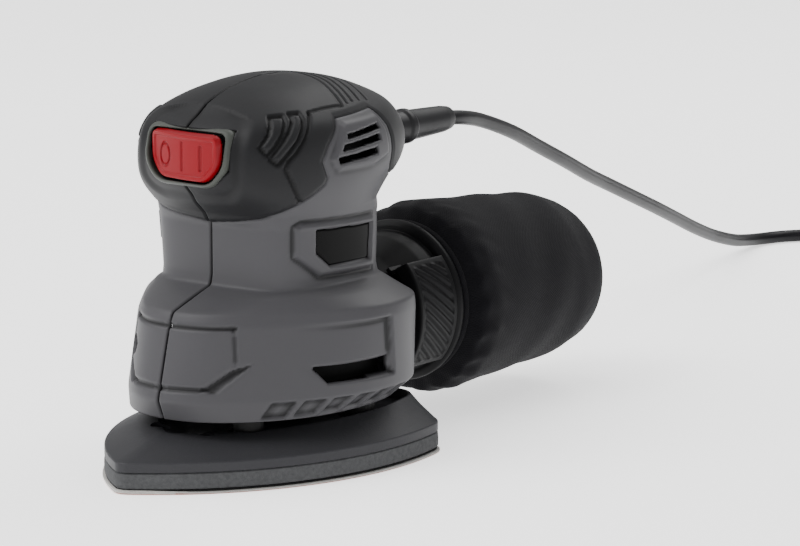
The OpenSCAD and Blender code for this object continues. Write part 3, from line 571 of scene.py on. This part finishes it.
# Dark sheets behind the vents and the dust slots are painted shade: they stand in for the shade
# inside the openings and have no CAD part of their own. A bright patch still shows at the front
# end of the left dust slot.
for left in (False, True):
    for kind, low, high in (("_vent_screen", 119, 138), ("_dust_screen", 36.5, 47.5)):
        shade_sheet = skin_piece(
            ("left" if left else "right") + kind, low, high,
            lambda x, y, z, left: np.where(z > 100, -6.5, -9.0),
            lambda x, y, z, left: (x > 24) & np.where(
                z > 100, depth_inside(VENT_FRAME, wrap(x, y), z) > -1, depth_inside(SLOT, y, z) > -4),
            left, 0.8, painted_shade_black)
        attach(shade_sheet, "tool_body")

# ---------------------------------------------------------------------------------------------
# Rubber skin: soft black thermoplastic rubber moulded over the head of each half, with a fine
# matt grain, two raised curved ribs and a curved groove on each side, and five grooves across the
# top.
# ---------------------------------------------------------------------------------------------
RIB_1 = from_front([(42.6, 142.1), (50.9, 142.2), (51.4, 140.1), (48.8, 136.1), (45.1, 132.2),
                    (41, 128.9), (37.9, 131.9), (42, 136.3), (43.1, 139.7)])
RIB_2 = from_front([(54.6, 142.7), (62, 142.6), (62.5, 140.2), (60.4, 137.4), (56.9, 133.6),
                    (51.8, 129.6), (46.1, 125), (42.4, 127.5), (48.2, 132.6), (52.7, 137),
                    (56, 140.6)])
RIB_3 = from_front([(69.4, 142.2), (66.1, 139.3), (64.4, 137.1), (60.7, 133.4), (55.2, 128.8),
                    (51.1, 126.2), (49.7, 123.4), (52.6, 118.5), (58.1, 108.8)])
TOP_GROOVES = (15, 18.6, 22.6, 27.6, 33.3)
ROCKER_Z = 127.2


def grip_relief(x, y, z, left):
    round_at = wrap(x, y)
    edge = -depth_inside(GREY_AREA, round_at, z)
    rise = groove(x, 1.3, 0.8)
    rise += 0.5 * smoothstep(edge / 1.6) - 3.2 * smoothstep(-edge / 1.2)
    aside = (x > 20) & (y < 8)
    for rib in (RIB_1, RIB_2):
        inside = depth_inside(rib, round_at, z)
        rise += np.where(aside, 0.55 * smoothstep((inside - 0.4) / 1.0)
                         + groove(np.abs(inside), 1.5, 1.2), 0)
    rise += np.where(aside, groove(line_distance(RIB_3, round_at, z), 1.6, 1.2), 0)
    above = z > 139
    rise += np.where(above, groove(line_distance([(33.1, -12.9), (34, 7)], x, y), 1.4, 0.8), 0)
    for k, start in enumerate(TOP_GROOVES):
        across = np.abs(y + 0.0065 * x * x - start)
        fade = smoothstep((34.5 - 0.9 * k - x) / 1.0)
        rise += np.where(above, groove(across, 1.5, 0.95) * fade, 0)
    # hollow round the switch
    near = np.hypot(np.maximum(np.abs(x) - 14, 0), np.maximum(np.abs(z - ROCKER_Z) - 6, 0))
    rise -= np.where(y < -35, 1.2 * smoothstep((13.5 - near) / 4.5), 0)
    if left:
        for sy, sz in SCREW_SPOTS[3:]:
            hole = np.hypot(y - sy, z - sz)
            rise -= np.where(x > 8, 5.0 * smoothstep((4.1 - hole) / 0.8), 0)
    return rise


def grip_kept(x, y, z, left):
    kept = -depth_inside(GREY_AREA, wrap(x, y), z) > -1.3
    kept &= ~((y < -35) & (np.abs(x) < 20.6) & (np.abs(z - ROCKER_Z) < 11.3)
              & (np.abs(x) + (ROCKER_Z - z) < 24.9))
    kept &= ~((y > 60) & (np.hypot(x, z - 122) < 9))
    if left:
        for sy, sz in SCREW_SPOTS[3:]:
            kept &= ~((x > 8) & (np.hypot(y - sy, z - sz) < 3.2))
    return kept


grip_rubber = surface("grip_rubber", (0.0085, 0.0085, 0.0095), rough=0.52, grain=2200, mottle=0.12,
                      bump=0.35, depth=0.05 * MM)
for left in (False, True):
    side_name = "left" if left else "right"
    grip = skin_piece(side_name + "_rubber_grip", 96.5, 153.3, grip_relief, grip_kept, left, 1.9,
                      grip_rubber)
    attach(grip, "tool_body")
    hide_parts(side_name + "_grip")

# ---------------------------------------------------------------------------------------------
# Switch: a red rocker with a raised rim, sunk signs for off and on and a bar between them, in a
# thin grey frame that follows the curve of the head. The off side is pressed.
# ---------------------------------------------------------------------------------------------
BEZEL_OUTER = [(-20.9, 138.4), (20.9, 138.4), (20.9, 123.4), (13.6, 115.2), (-13.6, 115.2),
               (-20.9, 123.4)]
BEZEL_INNER = [(-19.2, 137), (19.2, 137), (19.2, 124), (12.9, 116.8), (-12.9, 116.8), (-19.2, 124)]
ROCKER = [(-18.3, 136.5), (18.3, 136.5), (18.3, 124.3), (12.3, 117.4), (-12.3, 117.4),
          (-18.3, 124.3)]
ROCKER = rounded(ROCKER, 3.6, 4)


def front_of_head(x, z):
    """How far forward the head's skin reaches at the places (x, z)."""
    gx, gy, gz = skin_grid(112, 142)
    half = SKIN_COLUMNS // 2
    levels = np.stack([np.interp(np.abs(x), gx[k, :half], gy[k, :half]) for k in range(len(gx))])
    rows = np.interp(z, gz[:, 0], np.arange(len(gx)))
    low = np.clip(rows.astype(int), 0, len(gx) - 2)
    part = rows - low
    spot = np.arange(len(low))
    return levels[low, spot] * (1 - part) + levels[low + 1, spot] * part


def ring_loops(name, loops, material, closed=True):
    """A shell through loops of points, in mm, each joined to the next and the last to the first."""
    bm = bmesh.new()
    made = []
    for loop in loops:
        verts = [bm.verts.new(Vector(p) * MM) for p in loop]
        made.append([bm.edges.new(pair) for pair in zip(verts, verts[1:] + verts[:1])])
    follow = made[1:] + ([made[0]] if closed else [])
    for first, second in zip(made, follow):
        bmesh.ops.bridge_loops(bm, edges=first + second)
    face_outward(bm)
    return crisp(new_object(name, bm, material))


def front_ring(outline, forward):
    outline = rounded(outline, 4.2, 6)
    x, z = np.array(outline).T
    return list(zip(x, front_of_head(x, z) - forward, z))


def between(share):
    """Outline part of the way from the frame's outer to its inner edge."""
    return [(a * (1 - share) + c * share, b * (1 - share) + d * share)
            for (a, b), (c, d) in zip(BEZEL_OUTER, BEZEL_INNER)]


bezel_grey = surface("bezel_grey", (0.050, 0.054, 0.048), rough=0.42, grain=1700, mottle=0.05)
bezel = ring_loops("switch_frame", [
    front_ring(BEZEL_OUTER, -3), front_ring(BEZEL_OUTER, 0.1), front_ring(between(0.16), 0.75),
    front_ring(between(0.4), 0.95), front_ring(between(0.72), 0.9), front_ring(between(0.93), 0.5),
    front_ring(BEZEL_INNER, -0.2), front_ring(between(0.35), -3.2)], bezel_grey)
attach(bezel, "tool_body")
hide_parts("switch_bezel")


# Middle of the rocker's face, its bend across, and its slope with the off side pressed (5 degrees)
ROCKER_FACE_Y = -50.2
ROCKER_BEND = 0.0068
ROCKER_LEAN = 0.087


def rocker_face(x, z):
    """Height of the rocker's face over its plain curve, in mm."""
    inside = depth_inside(ROCKER, x, z)
    rise = -2.9 * smoothstep((0.9 - inside) / 1.1)
    rise -= 0.55 * smoothstep((inside - 2.0) / 0.7)
    zero = np.abs(np.hypot((x + 9.6) / 0.62, z - 127) - 4.4)
    rise -= 0.75 * smoothstep((0.8 - zero) / 0.45)
    bar = line_distance([(0, 121.6), (0, 132.4)], x, z)
    rise -= 0.6 * smoothstep((0.75 - bar) / 0.45)
    one = line_distance([(9.6, 122.6), (9.6, 131.4)], x, z)
    return rise - 0.75 * smoothstep((1.0 - one) / 0.45)


rocker_red = surface("rocker_red", (0.19, 0.0008, 0.005), rough=0.36, grain=1900, mottle=0.05,
                     bump=0.15)
bm = bmesh.new()
bmesh.ops.create_grid(bm, x_segments=176, y_segments=96, size=1)
places = np.array([v.co[:2] for v in bm.verts]) * (19.2, 10.1) + (0, 126.9)
raised = rocker_face(*places.T)
kept = depth_inside(ROCKER, *places.T) > -0.12
deep = []
for vert, (x, z), up, stay in zip(bm.verts, places, raised, kept):
    curve = ROCKER_FACE_Y + ROCKER_BEND * x * x - ROCKER_LEAN * x
    vert.co = Vector((x, curve - up, z)) * MM
    if not stay:
        deep.append(vert)
bmesh.ops.delete(bm, geom=deep, context="VERTS")
rim = [e for e in bm.edges if e.is_boundary]
pulled = bmesh.ops.extrude_edge_only(bm, edges=rim)["geom"]
back_rim = [v for v in pulled if isinstance(v, bmesh.types.BMVert)]
bmesh.ops.translate(bm, verts=back_rim, vec=(0, 0.8 * MM, 0))
bmesh.ops.scale(bm, verts=back_rim, vec=(0.93, 1, 0.92),
                space=Matrix.Translation((0, 0, -126.9 * MM)))
bmesh.ops.holes_fill(bm, edges=[e for e in bm.edges if e.is_boundary], sides=0)
bmesh.ops.recalc_face_normals(bm, faces=bm.faces)
rocker = new_object("rocker_button", bm, rocker_red)
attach(rocker, "rocker")
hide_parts("rocker_cap")

# ---------------------------------------------------------------------------------------------
# Labels: black glossy film in the seat of each frame on the neck, left blank.
# ---------------------------------------------------------------------------------------------


def label_relief(x, y, z, left):
    return 0.45 - 1.6 * smoothstep((0.9 - depth_inside(LABEL, y, z)) / 0.9)


def label_kept(x, y, z, left):
    return (x > 24) & (depth_inside(LABEL, y, z) > 0.1)


label_film = surface("label_film", (0.002, 0.002, 0.002), rough=0.2, grain=300, mottle=0.3,
                     bump=0.03, gloss=0.04)
for left in (False, True):
    side_name = "left" if left else "right"
    label = skin_piece(side_name + "_label_film", 79, 99, label_relief, label_kept, left, 0.5,
                       label_film)
    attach(label, "tool_body")
    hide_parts(side_name + "_label")

# ---------------------------------------------------------------------------------------------
# Pad: moulded platen with a chamfered rim and a hub, closed-cell foam under it, the hook layer,
# and a sheet of abrasive on a loop backing, without loose fibres, whose edge lifts a little at
# the tip. Eight dust holes go through all of them.
# ---------------------------------------------------------------------------------------------
DUST_HOLES = [(sx * x, y) for x, y in ((12, -50), (30, -18), (37, 0), (22, 36)) for sx in (1, -1)]
POSTS = [(20, -34), (-20, -34), (36, 16), (-36, 16)]


def arc(cx, cy, radius, start, end, steps):
    return [(cx + radius * math.cos(math.radians(start + (end - start) * k / steps)),
             cy + radius * math.sin(math.radians(start + (end - start) * k / steps)))
            for k in range(steps + 1)]


def pad_outline(grow=0.0, scale=1.0):
    """The pad's outline, moved out by grow, then scaled about a point near its middle."""
    right = arc(0, -82, 6 + grow, -90, -56.5, 6)[:-1]
    right += arc(-63.4, 13.95, 121 + grow, -56.5, 12.98, 48)[:-1]
    right += arc(40.9, 38, 14 + grow, 12.98, 90, 14)
    right += [(40.9 * k / 10, 52 + grow) for k in range(9, 0, -1)]
    left = [(-x, y) for x, y in reversed(right[1:])]
    whole = right + [(0, 52 + grow)] + left
    return [(x * scale, 33.5 + (y - 33.5) * scale) for x, y in whole]


def level(outline, z, tilt=0.0):
    return [(x, y, z + tilt * (y + 10)) for x, y in outline]


def hub_ring(radius, z):
    """A circle about the motor's crank, with a point facing each point of the pad's outline."""
    return [(1 + radius * math.cos(math.atan2(y, x)), radius * math.sin(math.atan2(y, x)), z)
            for x, y in pad_outline(0, 0.9)]


def pierced(piece, spots, radius, low, high):
    """Bores straight holes through a piece."""
    bm = bmesh.new()
    for x, y in spots:
        made = bmesh.ops.create_cone(bm, cap_ends=True, segments=32, radius1=radius * MM,
                                     radius2=radius * MM, depth=(high - low) * MM)
        bmesh.ops.translate(bm, verts=made["verts"], vec=Vector((x, y, (low + high) / 2)) * MM)
    drill = new_object("drill", bm, piece.data.materials[0])
    cut = piece.modifiers.new("holes", "BOOLEAN")
    cut.operation, cut.solver, cut.object = "DIFFERENCE", "MANIFOLD", drill
    bpy.context.view_layer.update()
    done = bpy.data.meshes.new_from_object(piece.evaluated_get(bpy.context.evaluated_depsgraph_get()))
    piece.modifiers.clear()
    piece.data = done
    bpy.data.objects.remove(drill)
    crisp(piece)


pad_nylon = surface("pad_nylon", (0.027, 0.027, 0.030), rough=0.5, grain=1100, mottle=0.14,
                    bump=0.6, depth=0.12 * MM)
platen = ring_loops("moulded_platen", [
    level(pad_outline(-1), 8.4), level(pad_outline(-0.3), 8.5), level(pad_outline(0), 8.8),
    level(pad_outline(0), 12.0), level(pad_outline(-0.35), 12.5),
    level(pad_outline(0, 0.98), 12.9), level(pad_outline(0, 0.86), 17.5, 0.01),
    level(pad_outline(0, 0.79), 20.1, 0.03), level(pad_outline(0, 0.775), 20.6, 0.035),
    level(pad_outline(0, 0.755), 20.5, 0.035), level(pad_outline(0, 0.745), 19.6, 0.03),
    level(pad_outline(0, 0.74), 18.2), level(pad_outline(0, 0.72), 17.8), hub_ring(20, 17.8),
    hub_ring(17.4, 18.6), hub_ring(17, 20), hub_ring(17, 27), hub_ring(16.5, 27.5),
    hub_ring(13.4, 27.5), hub_ring(13, 27), hub_ring(13, 19), hub_ring(9, 19), hub_ring(9, 12),
    hub_ring(11, 10), hub_ring(24, 8.4)], pad_nylon)
pierced(platen, DUST_HOLES, 4, 5, 30)
pierced(platen, POSTS, 8.4, 14.5, 40)
foam_rubber = surface("foam_rubber", (0.055, 0.056, 0.058), rough=0.85, grain=650, mottle=0.55,
                      bump=0.9, depth=0.35 * MM)
foam = ring_loops("foam_layer", [
    level(pad_outline(-0.5), 2), level(pad_outline(0.1), 2.6), level(pad_outline(0.15), 5.4),
    level(pad_outline(-0.1), 7.9), level(pad_outline(-0.6), 8.35), hub_ring(20, 8.35),
    hub_ring(16, 8.35), hub_ring(16, 2)], foam_rubber)
pierced(foam, DUST_HOLES, 4, -1, 12)
hook_fabric = surface("hook_fabric", (0.006, 0.006, 0.006), rough=0.9, grain=1400, mottle=0.5,
                      bump=0.8, depth=0.3 * MM)
hooks = ring_loops("hook_backing", [
    level(pad_outline(-0.9), 1.05), level(pad_outline(-0.3), 1.3), level(pad_outline(-0.3), 1.8),
    level(pad_outline(-0.8), 1.98), hub_ring(8, 1.98), hub_ring(8, 1.05)], hook_fabric)
pierced(hooks, DUST_HOLES, 4, -1, 5)


def sheet_edge(grow, z, lift):
    """Outline of the abrasive sheet, a little uneven, rising near the tip."""
    made = []
    for k, (x, y) in enumerate(pad_outline(grow)):
        wave = 0.16 * math.sin(k * 1.7) + 0.12 * math.sin(k * 0.61 + 1)
        tip = smoothstep((-y - 66) / 20)
        made.append((x * (1 + wave * 0.004), y, z + lift * (0.12 * wave + 0.9 * tip)))
    return made


loop_fleece = surface("loop_fleece", (0.36, 0.35, 0.33), rough=0.95, grain=1500, mottle=0.4,
                      bump=0.9, depth=0.3 * MM, sheen=0.4)
grit = surface("grit", (0.23, 0.055, 0.028), rough=0.8, grain=3200, mottle=0.6, bump=1.0,
               depth=0.12 * MM)
abrasive = ring_loops("abrasive_sheet", [
    sheet_edge(0.3, 0.03, 0.2), sheet_edge(0.7, 0.12, 0.5), sheet_edge(0.85, 0.35, 0.8),
    sheet_edge(0.75, 0.7, 1.0), sheet_edge(0.1, 0.92, 1.0), level(pad_outline(-8), 0.98),
    hub_ring(8, 0.98), hub_ring(8, 0.02), level(pad_outline(-8), 0.02)], loop_fleece)
pierced(abrasive, DUST_HOLES, 4, -2, 4)
abrasive.data.materials.append(grit)
for face in abrasive.data.polygons:
    face.material_index = int(face.normal.z < -0.35)
for piece, node, slot in ((platen, "platen", "pad_plastic"), (foam, "foam_pad", "foam"),
                          (hooks, "hook_layer", "hook_fabric"),
                          (abrasive, "sanding_sheet", "abrasive")):
    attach(piece, "pad")
    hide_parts(node)

# ---------------------------------------------------------------------------------------------
# Dust box: the port of the housing, the black plastic collar that pushes over it with ribbed
# finger grips, the elastic hem and the bag, of woven polyester, blown up a little by the air.
# ---------------------------------------------------------------------------------------------
DUST_AXIS = (0, 0, 49.5)
box_black = surface("box_black", (0.0035, 0.0035, 0.004), rough=0.42, grain=1300, mottle=0.15,
                    gloss=0.11)
port = turned("outlet_port", rounded([(16.5, 36), (23, 36), (23, 38.5), (19, 38.7), (19, 66),
                                      (16.5, 66)], 0.5, 2), DUST_AXIS, (0, 1, 0), box_black)
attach(port, "tool_body")
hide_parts("dust_port")
COLLAR = [(19.08, 52), (21.08, 52), (21.6, 56), (23.6, 63), (28.5, 76), (29.5, 81), (29.5, 84),
          (31.4, 84), (33.8, 86), (33.8, 88), (31.4, 90), (30, 90), (30, 100), (28.2, 100),
          (28.2, 88), (26.6, 76), (21.5, 66.5), (19.08, 66.5)]
collar = turned("bag_collar", rounded(COLLAR, 0.9, 3), DUST_AXIS, (0, 1, 0), box_black, 128)
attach(collar, "dust_box")
wings = []
for side in (1, -1):
    bm = bmesh.new()
    bmesh.ops.create_grid(bm, x_segments=110, y_segments=72, size=1)
    for vert in bm.verts:
        swing, y = math.radians(50 * vert.co.x), 73 + 13.5 * vert.co.y
        around = 32 * swing
        edge = min(24.5 - abs(around), 13 - abs(y - 73))
        hatch = abs(((around + 0.75 * (y - 73)) / 4.6) % 1 - 0.5) * 2
        field = smoothstep(min(21 - abs(around), 9.8 - abs(y - 73)) / 0.8)
        radius = 32.9 - 7.5 * smoothstep((1.3 - edge) / 2.4)
        radius += field * (0.75 * smoothstep((hatch - 0.35) / 0.3) - 0.5)
        vert.co = Vector((side * radius * math.cos(swing), y, 49.5 + radius * math.sin(swing))) * MM
    if side < 0:
        bmesh.ops.reverse_faces(bm, faces=bm.faces)
    bmesh.ops.reverse_faces(bm, faces=bm.faces)
    wing = new_object("finger_grip_" + ("right" if side > 0 else "left"), bm, box_black)
    plate = wing.modifiers.new("wall", "SOLIDIFY")
    plate.thickness, plate.offset = 1.6 * MM, -1
    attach(wing, "dust_box")
    wings.append(wing)
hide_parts("dust_collar")
for wing in wings:
    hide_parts("dust_collar")


def woven_cloth():
    """Plain weave round the dust bag: threads along it and round it, with uneven slubs."""
    group, w, put, out = new_group(
        "woven_cloth",
        (("Color", "NodeSocketColor", (0.02, 0.02, 0.02, 1)), ("Pitch", "NodeSocketFloat", 5200.0),
         ("Roughness", "NodeSocketFloat", 0.8)), FINISH_OUTPUTS)
    place = w.add("ShaderNodeTexCoord").outputs["Object"]
    axes = w.add("ShaderNodeSeparateXYZ", {0: place})
    turn = w.math("ARCTAN2", axes.outputs[0], w.math("SUBTRACT", axes.outputs[2], 0.047))
    slub = w.add("ShaderNodeTexNoise", {"Vector": place, "Scale": 260.0, "Detail": 3.0}).outputs["Fac"]
    drift = w.math("MULTIPLY", slub, 2.2)
    round_bag = w.math("MULTIPLY", turn, 0.038)
    weft = w.math("ADD", w.math("MULTIPLY", round_bag, put.outputs["Pitch"]), drift)
    warp = w.math("ADD", w.math("MULTIPLY", axes.outputs[1], put.outputs["Pitch"]), drift)
    over = w.math("MULTIPLY", w.math("SINE", weft), w.math("SINE", warp))
    height = w.math("ADD", w.math("MULTIPLY", over, 0.5), w.math("MULTIPLY", slub, 0.8))
    slubbed = w.math("ADD", w.math("MULTIPLY", slub, 0.5), 0.75)
    tone = w.math("ADD", w.math("MULTIPLY", over, 0.16), slubbed)
    tint = w.add("ShaderNodeVectorMath", {0: put.outputs["Color"], "Scale": tone}, operation="SCALE")
    w.tree.links.new(tint.outputs[0], out.inputs["Color"])
    w.tree.links.new(w.math("ADD", put.outputs["Roughness"], w.math("MULTIPLY", over, 0.05)),
                     out.inputs["Roughness"])
    w.tree.links.new(height, out.inputs["Height"])
    return group


WEAVE = woven_cloth()


def cloth(name, colour, pitch):
    material, tree, shader = shader_nodes(name)
    w = Wires(tree)
    group = w.add("ShaderNodeGroup")
    group.node_tree = WEAVE
    group.inputs["Color"].default_value = (*colour, 1)
    group.inputs["Pitch"].default_value = pitch
    group.inputs["Roughness"].default_value = 0.82
    tree.links.new(group.outputs["Color"], shader.inputs["Base Color"])
    tree.links.new(group.outputs["Roughness"], shader.inputs["Roughness"])
    relief = w.add("ShaderNodeBump", {"Height": group.outputs["Height"], "Strength": 0.5,
                                      "Distance": 0.25 * MM})
    tree.links.new(relief.outputs["Normal"], shader.inputs["Normal"])
    shader.inputs["Sheen Weight"].default_value = 0.04
    shader.inputs["Sheen Roughness"].default_value = 0.5
    shader.inputs["Specular IOR Level"].default_value = 0.1
    return material


bag_cloth = cloth("bag_cloth", (0.0034, 0.0032, 0.0044), 5200.0)
BAG_RINGS = [(91.5, 31.7, 49.5), (93, 33.4, 49.4), (96, 38.6, 48.8), (104, 40.2, 48.6),
             (125, 38.6, 48.4), (150, 37.2, 48), (172, 35.8, 47.3), (188, 32.6, 46.4),
             (197, 26, 45.8), (201.4, 14, 45.5)]


def bag_shape():
    """The bag as sewn: a round sleeve with a rounded far end, closed over its mouth."""
    bm = bmesh.new()
    rings = []
    for y, r, height in BAG_RINGS:
        verts = [bm.verts.new(Vector((r * math.cos(a), y, height + r * math.sin(a))) * MM)
                 for a in np.linspace(0, math.tau, 72, endpoint=False)]
        rings.append(verts)
    for first, second in zip(rings, rings[1:]):
        edges = [[bm.edges.get(pair) or bm.edges.new(pair)
                  for pair in zip(ring, ring[1:] + ring[:1])] for ring in (first, second)]
        bmesh.ops.bridge_loops(bm, edges=edges[0] + edges[1])
    bm.faces.new(rings[0])
    bm.faces.new(rings[-1])
    bmesh.ops.recalc_face_normals(bm, faces=bm.faces)
    return bm


def applied(piece):
    bpy.context.view_layer.update()
    depsgraph = bpy.context.evaluated_depsgraph_get()
    done = bpy.data.meshes.new_from_object(piece.evaluated_get(depsgraph))
    piece.modifiers.clear()
    piece.data = done


# Air pressure that fills the bag, and how far the simulation may move the cloth
BAG_PRESSURE = 4.0
BAG_MOVE_CAP = 2.2 * MM
SIM_FRAMES = 20
bag = new_object("dust_bag_cloth", bag_shape(), bag_cloth)
remesh = bag.modifiers.new("voxels", "REMESH")
remesh.mode, remesh.voxel_size = "VOXEL", 2.6 * MM
applied(bag)
start = np.array([v.co for v in bag.data.vertices])
held = bag.vertex_groups.new(name="held")
for k, place in enumerate(start):
    held.add([k], float(smoothstep((0.0975 - place[1]) / 0.004)), "REPLACE")
sim = bag.modifiers.new("cloth", "CLOTH")
sim.settings.quality = 6
sim.settings.mass = 0.12
sim.settings.tension_stiffness = 25
sim.settings.compression_stiffness = 25
sim.settings.bending_stiffness = 4
sim.settings.use_pressure = True
sim.settings.uniform_pressure_force = BAG_PRESSURE
sim.settings.shrink_min = -0.012
sim.settings.vertex_group_mass = "held"
sim.settings.effector_weights.gravity = 0
sim.point_cache.frame_start, sim.point_cache.frame_end = 1, SIM_FRAMES
for frame_number in range(1, SIM_FRAMES + 1):
    bpy.context.scene.frame_set(frame_number)
applied(bag)
bpy.context.scene.frame_set(1)
moved = np.array([v.co for v in bag.data.vertices]) - start
reach = np.linalg.norm(moved, axis=1, keepdims=True)
end = start + moved * np.minimum(1, BAG_MOVE_CAP / np.maximum(reach, 1e-9))
for vert, place in zip(bag.data.vertices, end):
    vert.co = place
bm = bmesh.new()
bm.from_mesh(bag.data)
mouth = [f for f in bm.faces if f.calc_center_median().y < 0.0922
         and math.hypot(f.calc_center_median().x, f.calc_center_median().z - 0.0495) < 0.0302]
bmesh.ops.delete(bm, geom=mouth, context="FACES")
for vert in bm.verts:
    x, y, z = vert.co / MM
    turn = math.atan2(x, z - 48)
    gather = smoothstep((116 - y) / 16) * smoothstep((y - 92) / 3)
    sag = smoothstep((y - 100) / 60) * smoothstep((200 - y) / 14)
    lift = 0.55 * gather * math.sin(turn * 21 + 1.4 * math.sin(y * 0.2))
    lift += 0.7 * sag * math.sin(turn * 2 + y * 0.085) * math.sin(y * 0.11 + turn)
    vert.co += Vector((math.sin(turn), 0, math.cos(turn))) * lift * MM
bm.to_mesh(bag.data)
bm.free()
smoother = bag.modifiers.new("soft", "SUBSURF")
smoother.levels = smoother.render_levels = 1
bag_wall = bag.modifiers.new("wall", "SOLIDIFY")
bag_wall.thickness, bag_wall.offset = 0.5 * MM, -1
bag.data.shade_smooth()
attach(bag, "dust_box")
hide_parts("dust_bag")
hem = turned("elastic_hem", rounded([(30.05, 90.2), (32.4, 90.2), (33.2, 92), (32.4, 94.2),
                                     (30.05, 94.2)], 1.0, 3), DUST_AXIS, (0, 1, 0), bag_cloth)
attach(hem, "dust_box")
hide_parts("bag_hem")

# ---------------------------------------------------------------------------------------------
# Plug, pins and tie of the mains lead: a moulded PVC plug with two round nickel pins lying flat
# on the floor, and the black hook-and-loop strap round the coil.
# ---------------------------------------------------------------------------------------------
PLUG_Y, PLUG_Z = 581.2, 13


def plug_ring(x, wide, high, power=3.2):
    """A rounded outline of the plug at one place along it."""
    made = []
    for a in np.linspace(0, math.tau, 48, endpoint=False):
        c, s = math.cos(a), math.sin(a)
        r = (abs(c / wide) ** power + abs(s / high) ** power) ** (-1 / power)
        made.append((x, PLUG_Y + r * c, PLUG_Z + r * s))
    return made


plug = ring_loops("plug_moulding", [
    plug_ring(11, 3.12, 3.12, 2), plug_ring(11, 4.4, 4.4, 2), plug_ring(20, 5, 5, 2),
    plug_ring(34, 6.4, 6.4, 2), plug_ring(35.5, 8.2, 7.6, 2.2), plug_ring(45, 13, 10.2, 2.6),
    plug_ring(54, 17.2, 12.4), plug_ring(57, 18, 13), plug_ring(67.5, 18, 13),
    plug_ring(69.6, 17.2, 12.2), plug_ring(70, 16.2, 11.2), plug_ring(70, 2, 2, 2),
    plug_ring(30, 2, 2, 2), plug_ring(11.2, 3.12, 3.12, 2)], lead_pvc)
pin_nickel = surface("pin_nickel", (0.62, 0.59, 0.53), rough=0.24, grain=900, mottle=0.1, bump=0.05,
                     metallic=1.0)
pins = []
for side in (9.5, -9.5):
    pins.append(turned("plug_pin_" + ("a" if side > 0 else "b"),
                       [(0, 60), (2.0, 60), (2.0, 70.15), (2.4, 70.3), (2.4, 87.2), (2.1, 88.2),
                        (1.4, 89), (0, 89.15)], (0, PLUG_Y + side, PLUG_Z), (1, 0, 0), pin_nickel, 40))
tie_outline = rounded([(565.2, 0.1), (584.8, 0.1), (584.8, 13.2), (565.2, 13.2)], 3.2, 5)
tie = ring_loops("coil_tie", [
    [(-20, y, z) for y, z in tie_outline], [(-10, y, z) for y, z in tie_outline],
    [(-10, 575 + (y - 575) * 0.92, 6.65 + (z - 6.65) * 0.95) for y, z in tie_outline],
    [(-20, 575 + (y - 575) * 0.92, 6.65 + (z - 6.65) * 0.95) for y, z in tie_outline]],
    hook_fabric)
for piece, node, slot in ((plug, "plug_body", "cord_pvc"), (pins[0], "plug_pins", "nickel"),
                          (pins[1], "plug_pins", "nickel"), (tie, "cord_tie", "hook_fabric")):
    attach(piece, "tool_body")
    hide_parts(node)

# ---------------------------------------------------------------------------------------------
# Inside and fastenings, carried over from the frame: each CAD part gets the material of the real
# one, such as ground steel, laminations, enamelled copper, carbon and die-cast zinc.
# ---------------------------------------------------------------------------------------------
steel = surface("ground_steel", (0.52, 0.52, 0.53), rough=0.28, grain=2600, mottle=0.12, bump=0.12,
                metallic=1.0)
zinc_plate = surface("zinc_plated_steel", (0.60, 0.60, 0.58), rough=0.33, grain=900, mottle=0.2,
                     bump=0.1, metallic=1.0)
laminations = surface("laminations", (0.16, 0.16, 0.165), rough=0.48, grain=2400, mottle=0.35,
                      bump=0.4, metallic=0.9)
copper = surface("enamelled_copper", (0.52, 0.15, 0.05), rough=0.3, grain=1600, mottle=0.4,
                 bump=0.5, depth=0.2 * MM, metallic=0.9, coat=0.4)
commutator_copper = surface("commutator_copper", (0.62, 0.27, 0.13), rough=0.34, grain=1200,
                            mottle=0.2, metallic=1.0)
brass = surface("brass", (0.62, 0.43, 0.17), rough=0.3, grain=1200, mottle=0.15, metallic=1.0)
die_cast = surface("die_cast", (0.34, 0.34, 0.35), rough=0.45, grain=1500, mottle=0.25, bump=0.4,
                   metallic=1.0)
carbon = surface("carbon", (0.018, 0.018, 0.02), rough=0.55, grain=2600, mottle=0.5, bump=0.4)
fan_nylon = surface("fan_nylon", (0.055, 0.055, 0.06), rough=0.5, grain=1500, mottle=0.2)
post_rubber = surface("post_rubber", (0.018, 0.018, 0.018), rough=0.7, grain=1500, mottle=0.2)
film = surface("capacitor_film", (0.55, 0.40, 0.10), rough=0.3, grain=900, mottle=0.12, coat=0.3)
CARRIED = {
    "housing_screws": zinc_plate, "clamp_screws": zinc_plate, "pad_screw": zinc_plate,
    "switch_body": fan_nylon, "cord_clamp": fan_nylon, "cord_tail": lead_pvc, "capacitor": film,
    "stator_core": laminations, "field_coils": copper, "armature_core": laminations,
    "armature_winding": copper, "motor_shaft": steel, "commutator": commutator_copper,
    "cooling_fan": fan_nylon, "upper_bearing": steel, "lower_bearing": steel,
    "pad_bearing": steel, "bearing_plate": die_cast, "eccentric_balancer": die_cast,
    "brush_holders": brass, "carbon_brushes": carbon, "brush_springs": steel,
    "rubber_posts": post_rubber}
for node, material in CARRIED.items():
    mesh = bpy.data.objects[node].data
    mesh.materials.clear()
    mesh.materials.append(material)
